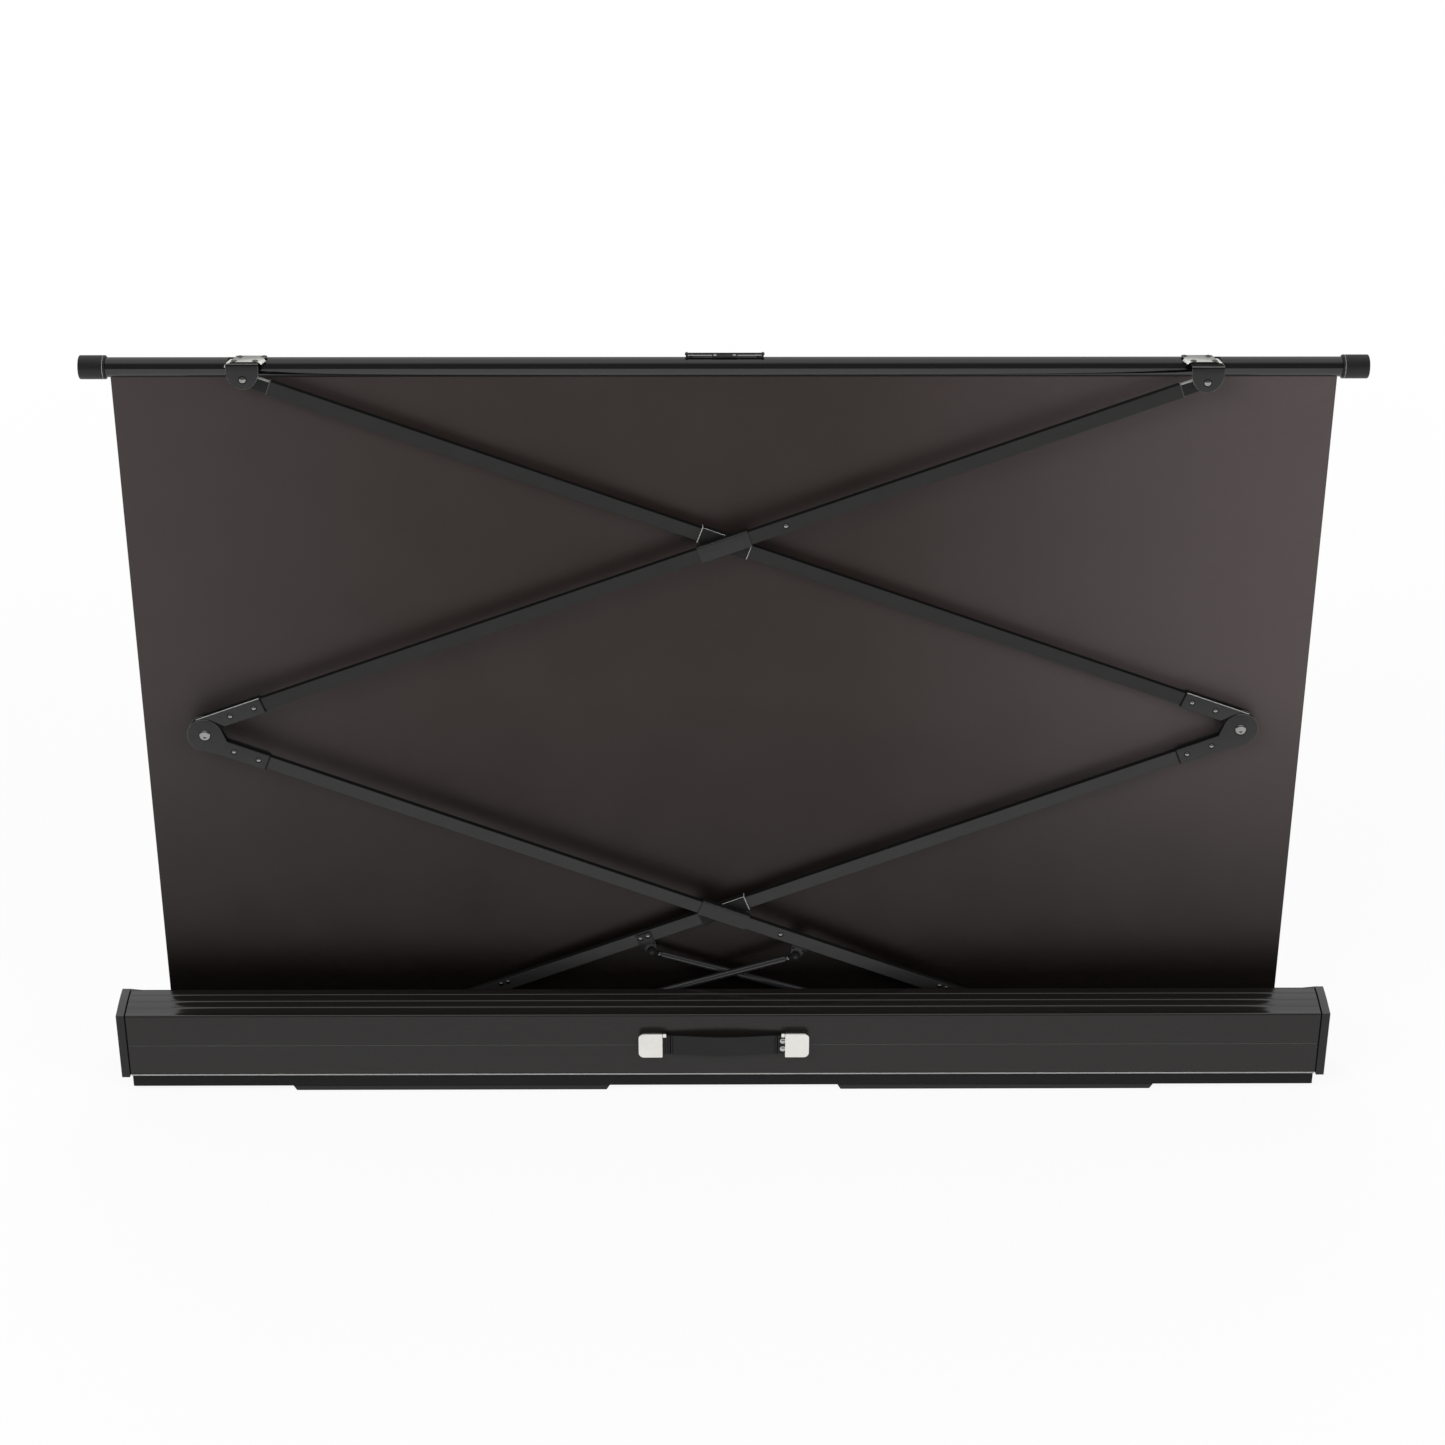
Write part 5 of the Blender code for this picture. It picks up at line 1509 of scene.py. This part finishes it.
CARRIED = {
    "base_rail": "base", "roller_bracket_left": "zinc", "roller_bracket_right": "zinc",
    "spring_arbor": "zinc", "pivot_bracket_outer": "zinc", "pivot_bracket_inner": "zinc",
    "pivot_pin_outer": "zinc", "pivot_pin_inner": "zinc", "spring_mount_outer": "zinc",
    "spring_mount_inner": "zinc", "roller_tube": "zinc", "roller_plug_left": "plastic",
    "roller_plug_right": "plastic", "roller_spring": "zinc", "upper_cross_pin": "dark_steel",
    "lower_cross_pin": "dark_steel", }


class SCREEN_OT_carried_parts(bpy.types.Operator):
    """Give the parts that stay as they are their finishes"""
    bl_idname = "screen.carried_parts"
    bl_label = "Carried-over parts"

    def execute(self, context):
        for name, finish in CARRIED.items():
            painted(frame["nodes"][name], finish)
        return {"FINISHED"}


def studio_white(tree, kept):
    """The share of plain white that the camera meets, straight, through glass or by way of gloss."""
    path = node(tree, "LightPath").outputs
    straight = maths(tree, "MAXIMUM", path["Is Camera Ray"], path["Is Transmission Ray"])
    return maths(tree, "MULTIPLY", maths(tree, "MAXIMUM", straight, path["Is Glossy Ray"]), kept)


def add_floor():
    """A pale floor that is plain white from further off, and shows the shadow near the screen."""
    deselect()
    bpy.ops.mesh.primitive_plane_add(size=sizes().floor, location=(0.0, 0.0, -0.0002))
    floor = bpy.context.object
    floor.name = "studio_floor"
    fix_place()
    pale = (0.86, 0.86, 0.855)
    material, tree, shader = blank("Studio floor", pale, {"Base Color": shade(pale, 1.0),
                                                          "Roughness": 0.9, **gloss(0.2)})
    white = node(tree, "Emission", {"Color": (1.0, 1.0, 1.0, 1.0), "Strength": 1.0})
    place = node(tree, "TexCoord").outputs["Object"]
    away = node(tree, "VectorMath", {0: place}, operation="LENGTH").outputs["Value"]
    kept = spread(tree, away, 0.90, 1.0, 1.2, 4.0)
    mixed = node(tree, "MixShader", {0: studio_white(tree, kept), 1: shader.outputs[0], 2: white.outputs[0]})
    tree.links.new(mixed.outputs[0], tree.nodes["Material Output"].inputs["Surface"])
    floor.data.materials.append(material)


def add_world(scene):
    """A white backdrop. By way of gloss it is brightest overhead and dim where the camera side is."""
    world = bpy.data.worlds.new("Studio")
    scene.world = world
    world.use_nodes = True
    tree = world.node_tree
    soft = tree.nodes["Background"]
    soft.inputs["Color"].default_value = (0.97, 0.98, 1.0, 1.0)
    soft.inputs["Strength"].default_value = 0.32
    way = node(tree, "SeparateXYZ", {0: node(tree, "TexCoord").outputs["Generated"]})
    lean = maths(tree, "MULTIPLY_ADD", way.outputs["Y"], 0.35, way.outputs["Z"])
    overhead = spread(tree, lean, 0.16, 1.0, 0.50, 0.93, "SMOOTHSTEP")
    behind = spread(tree, way.outputs["Y"], 0.16, 0.45, -0.35, 0.20)
    room = maths(tree, "MAXIMUM", overhead, behind)
    path = node(tree, "LightPath").outputs
    level = maths(tree, "MAXIMUM", path["Is Camera Ray"], room)
    plain = maths(tree, "MAXIMUM", path["Is Transmission Ray"], level)
    shown = node(tree, "Background", {"Color": (1.0, 1.0, 1.0, 1.0), "Strength": plain})
    mixed = node(tree, "MixShader", {0: studio_white(tree, 1.0), 1: soft.outputs[0], 2: shown.outputs[0]})
    tree.links.new(mixed.outputs[0], tree.nodes["World Output"].inputs["Surface"])


def add_lamps(scene):
    for name, place, aim, wide, high, power in (
            ("Key light", (-2.2, -3.2, 3.6), (0.0, 0.0, 0.6), 3.0, 2.0, 145.0),
            ("Fill light", (2.8, -3.0, 2.6), (0.0, 0.0, 0.6), 3.0, 2.0, 95.0),
            ("Front light", (0.0, 3.6, 2.6), (0.0, 0.0, 0.7), 4.0, 2.0, 70.0)):
        lamp = bpy.data.lights.new(name, "AREA")
        lamp.shape = "RECTANGLE"
        lamp.size, lamp.size_y, lamp.energy = wide, high, power
        item = bpy.data.objects.new(name, lamp)
        item.location = place
        item.rotation_euler = (Vector(aim) - Vector(place)).to_track_quat("-Z", "Y").to_euler()
        item.visible_glossy = False
        scene.collection.objects.link(item)


def add_camera(scene):
    camera = bpy.data.cameras.new("Camera")
    camera.lens = 73.03
    camera.sensor_width = 36.0
    item = bpy.data.objects.new("Camera", camera)
    item.matrix_world = (Matrix.Translation((-0.0333, -4.1124, 2.7436))
                         @ Matrix.Rotation(radians(-0.428), 4, "Z")
                         @ Matrix.Rotation(radians(90.0 - 26.97), 4, "X")
                         @ Matrix.Rotation(radians(0.112), 4, "Z"))
    scene.collection.objects.link(item)
    scene.camera = item
    scene.view_settings.view_transform = "Standard"


class SCREEN_OT_stage(bpy.types.Operator):
    """Add the studio: a pale floor, the lamps, the world and the camera"""
    bl_idname = "screen.stage"
    bl_label = "Studio stage"

    def execute(self, context):
        add_floor()
        add_world(context.scene)
        add_lamps(context.scene)
        add_camera(context.scene)
        return {"FINISHED"}


class SCREEN_PT_panel(bpy.types.Panel):
    """Sizes, colours and pieces of the projection screen"""
    bl_idname = "SCREEN_PT_panel"
    bl_label = "Projection screen"
    bl_space_type = "VIEW_3D"
    bl_region_type = "UI"
    bl_category = "Screen"

    def draw(self, context):
        for group in (context.scene.screen_sizes, context.scene.screen_colours):
            box = self.layout.box()
            for key in group.bl_rna.properties.keys():
                if key not in ("rna_type", "name"):
                    box.prop(group, key)
        for operator in OPERATORS:
            self.layout.operator(operator.bl_idname)


OPERATORS = (SCREEN_OT_stage, SCREEN_OT_case_shell, SCREEN_OT_end_caps, SCREEN_OT_carry_strap,
             SCREEN_OT_feet, SCREEN_OT_roller, SCREEN_OT_lower_arms, SCREEN_OT_upper_arms,
             SCREEN_OT_sleeves, SCREEN_OT_gas_springs, SCREEN_OT_top_tube, SCREEN_OT_top_brackets,
             SCREEN_OT_pull_handle, SCREEN_OT_cloth, SCREEN_OT_carried_parts)
CLASSES = (ScreenSizes, ScreenColours, *OPERATORS, SCREEN_PT_panel)


def register():
    for item in CLASSES:
        bpy.utils.register_class(item)
    bpy.types.Scene.screen_sizes = bpy.props.PointerProperty(type=ScreenSizes)
    bpy.types.Scene.screen_colours = bpy.props.PointerProperty(type=ScreenColours)


def unregister():
    del bpy.types.Scene.screen_sizes
    del bpy.types.Scene.screen_colours
    for item in reversed(CLASSES):
        bpy.utils.unregister_class(item)


def main():
    register()
    make_finishes()
    for operator in OPERATORS:
        group, word = operator.bl_idname.split(".")
        getattr(getattr(bpy.ops, group), word)()


if __name__ == "__main__":
    main()
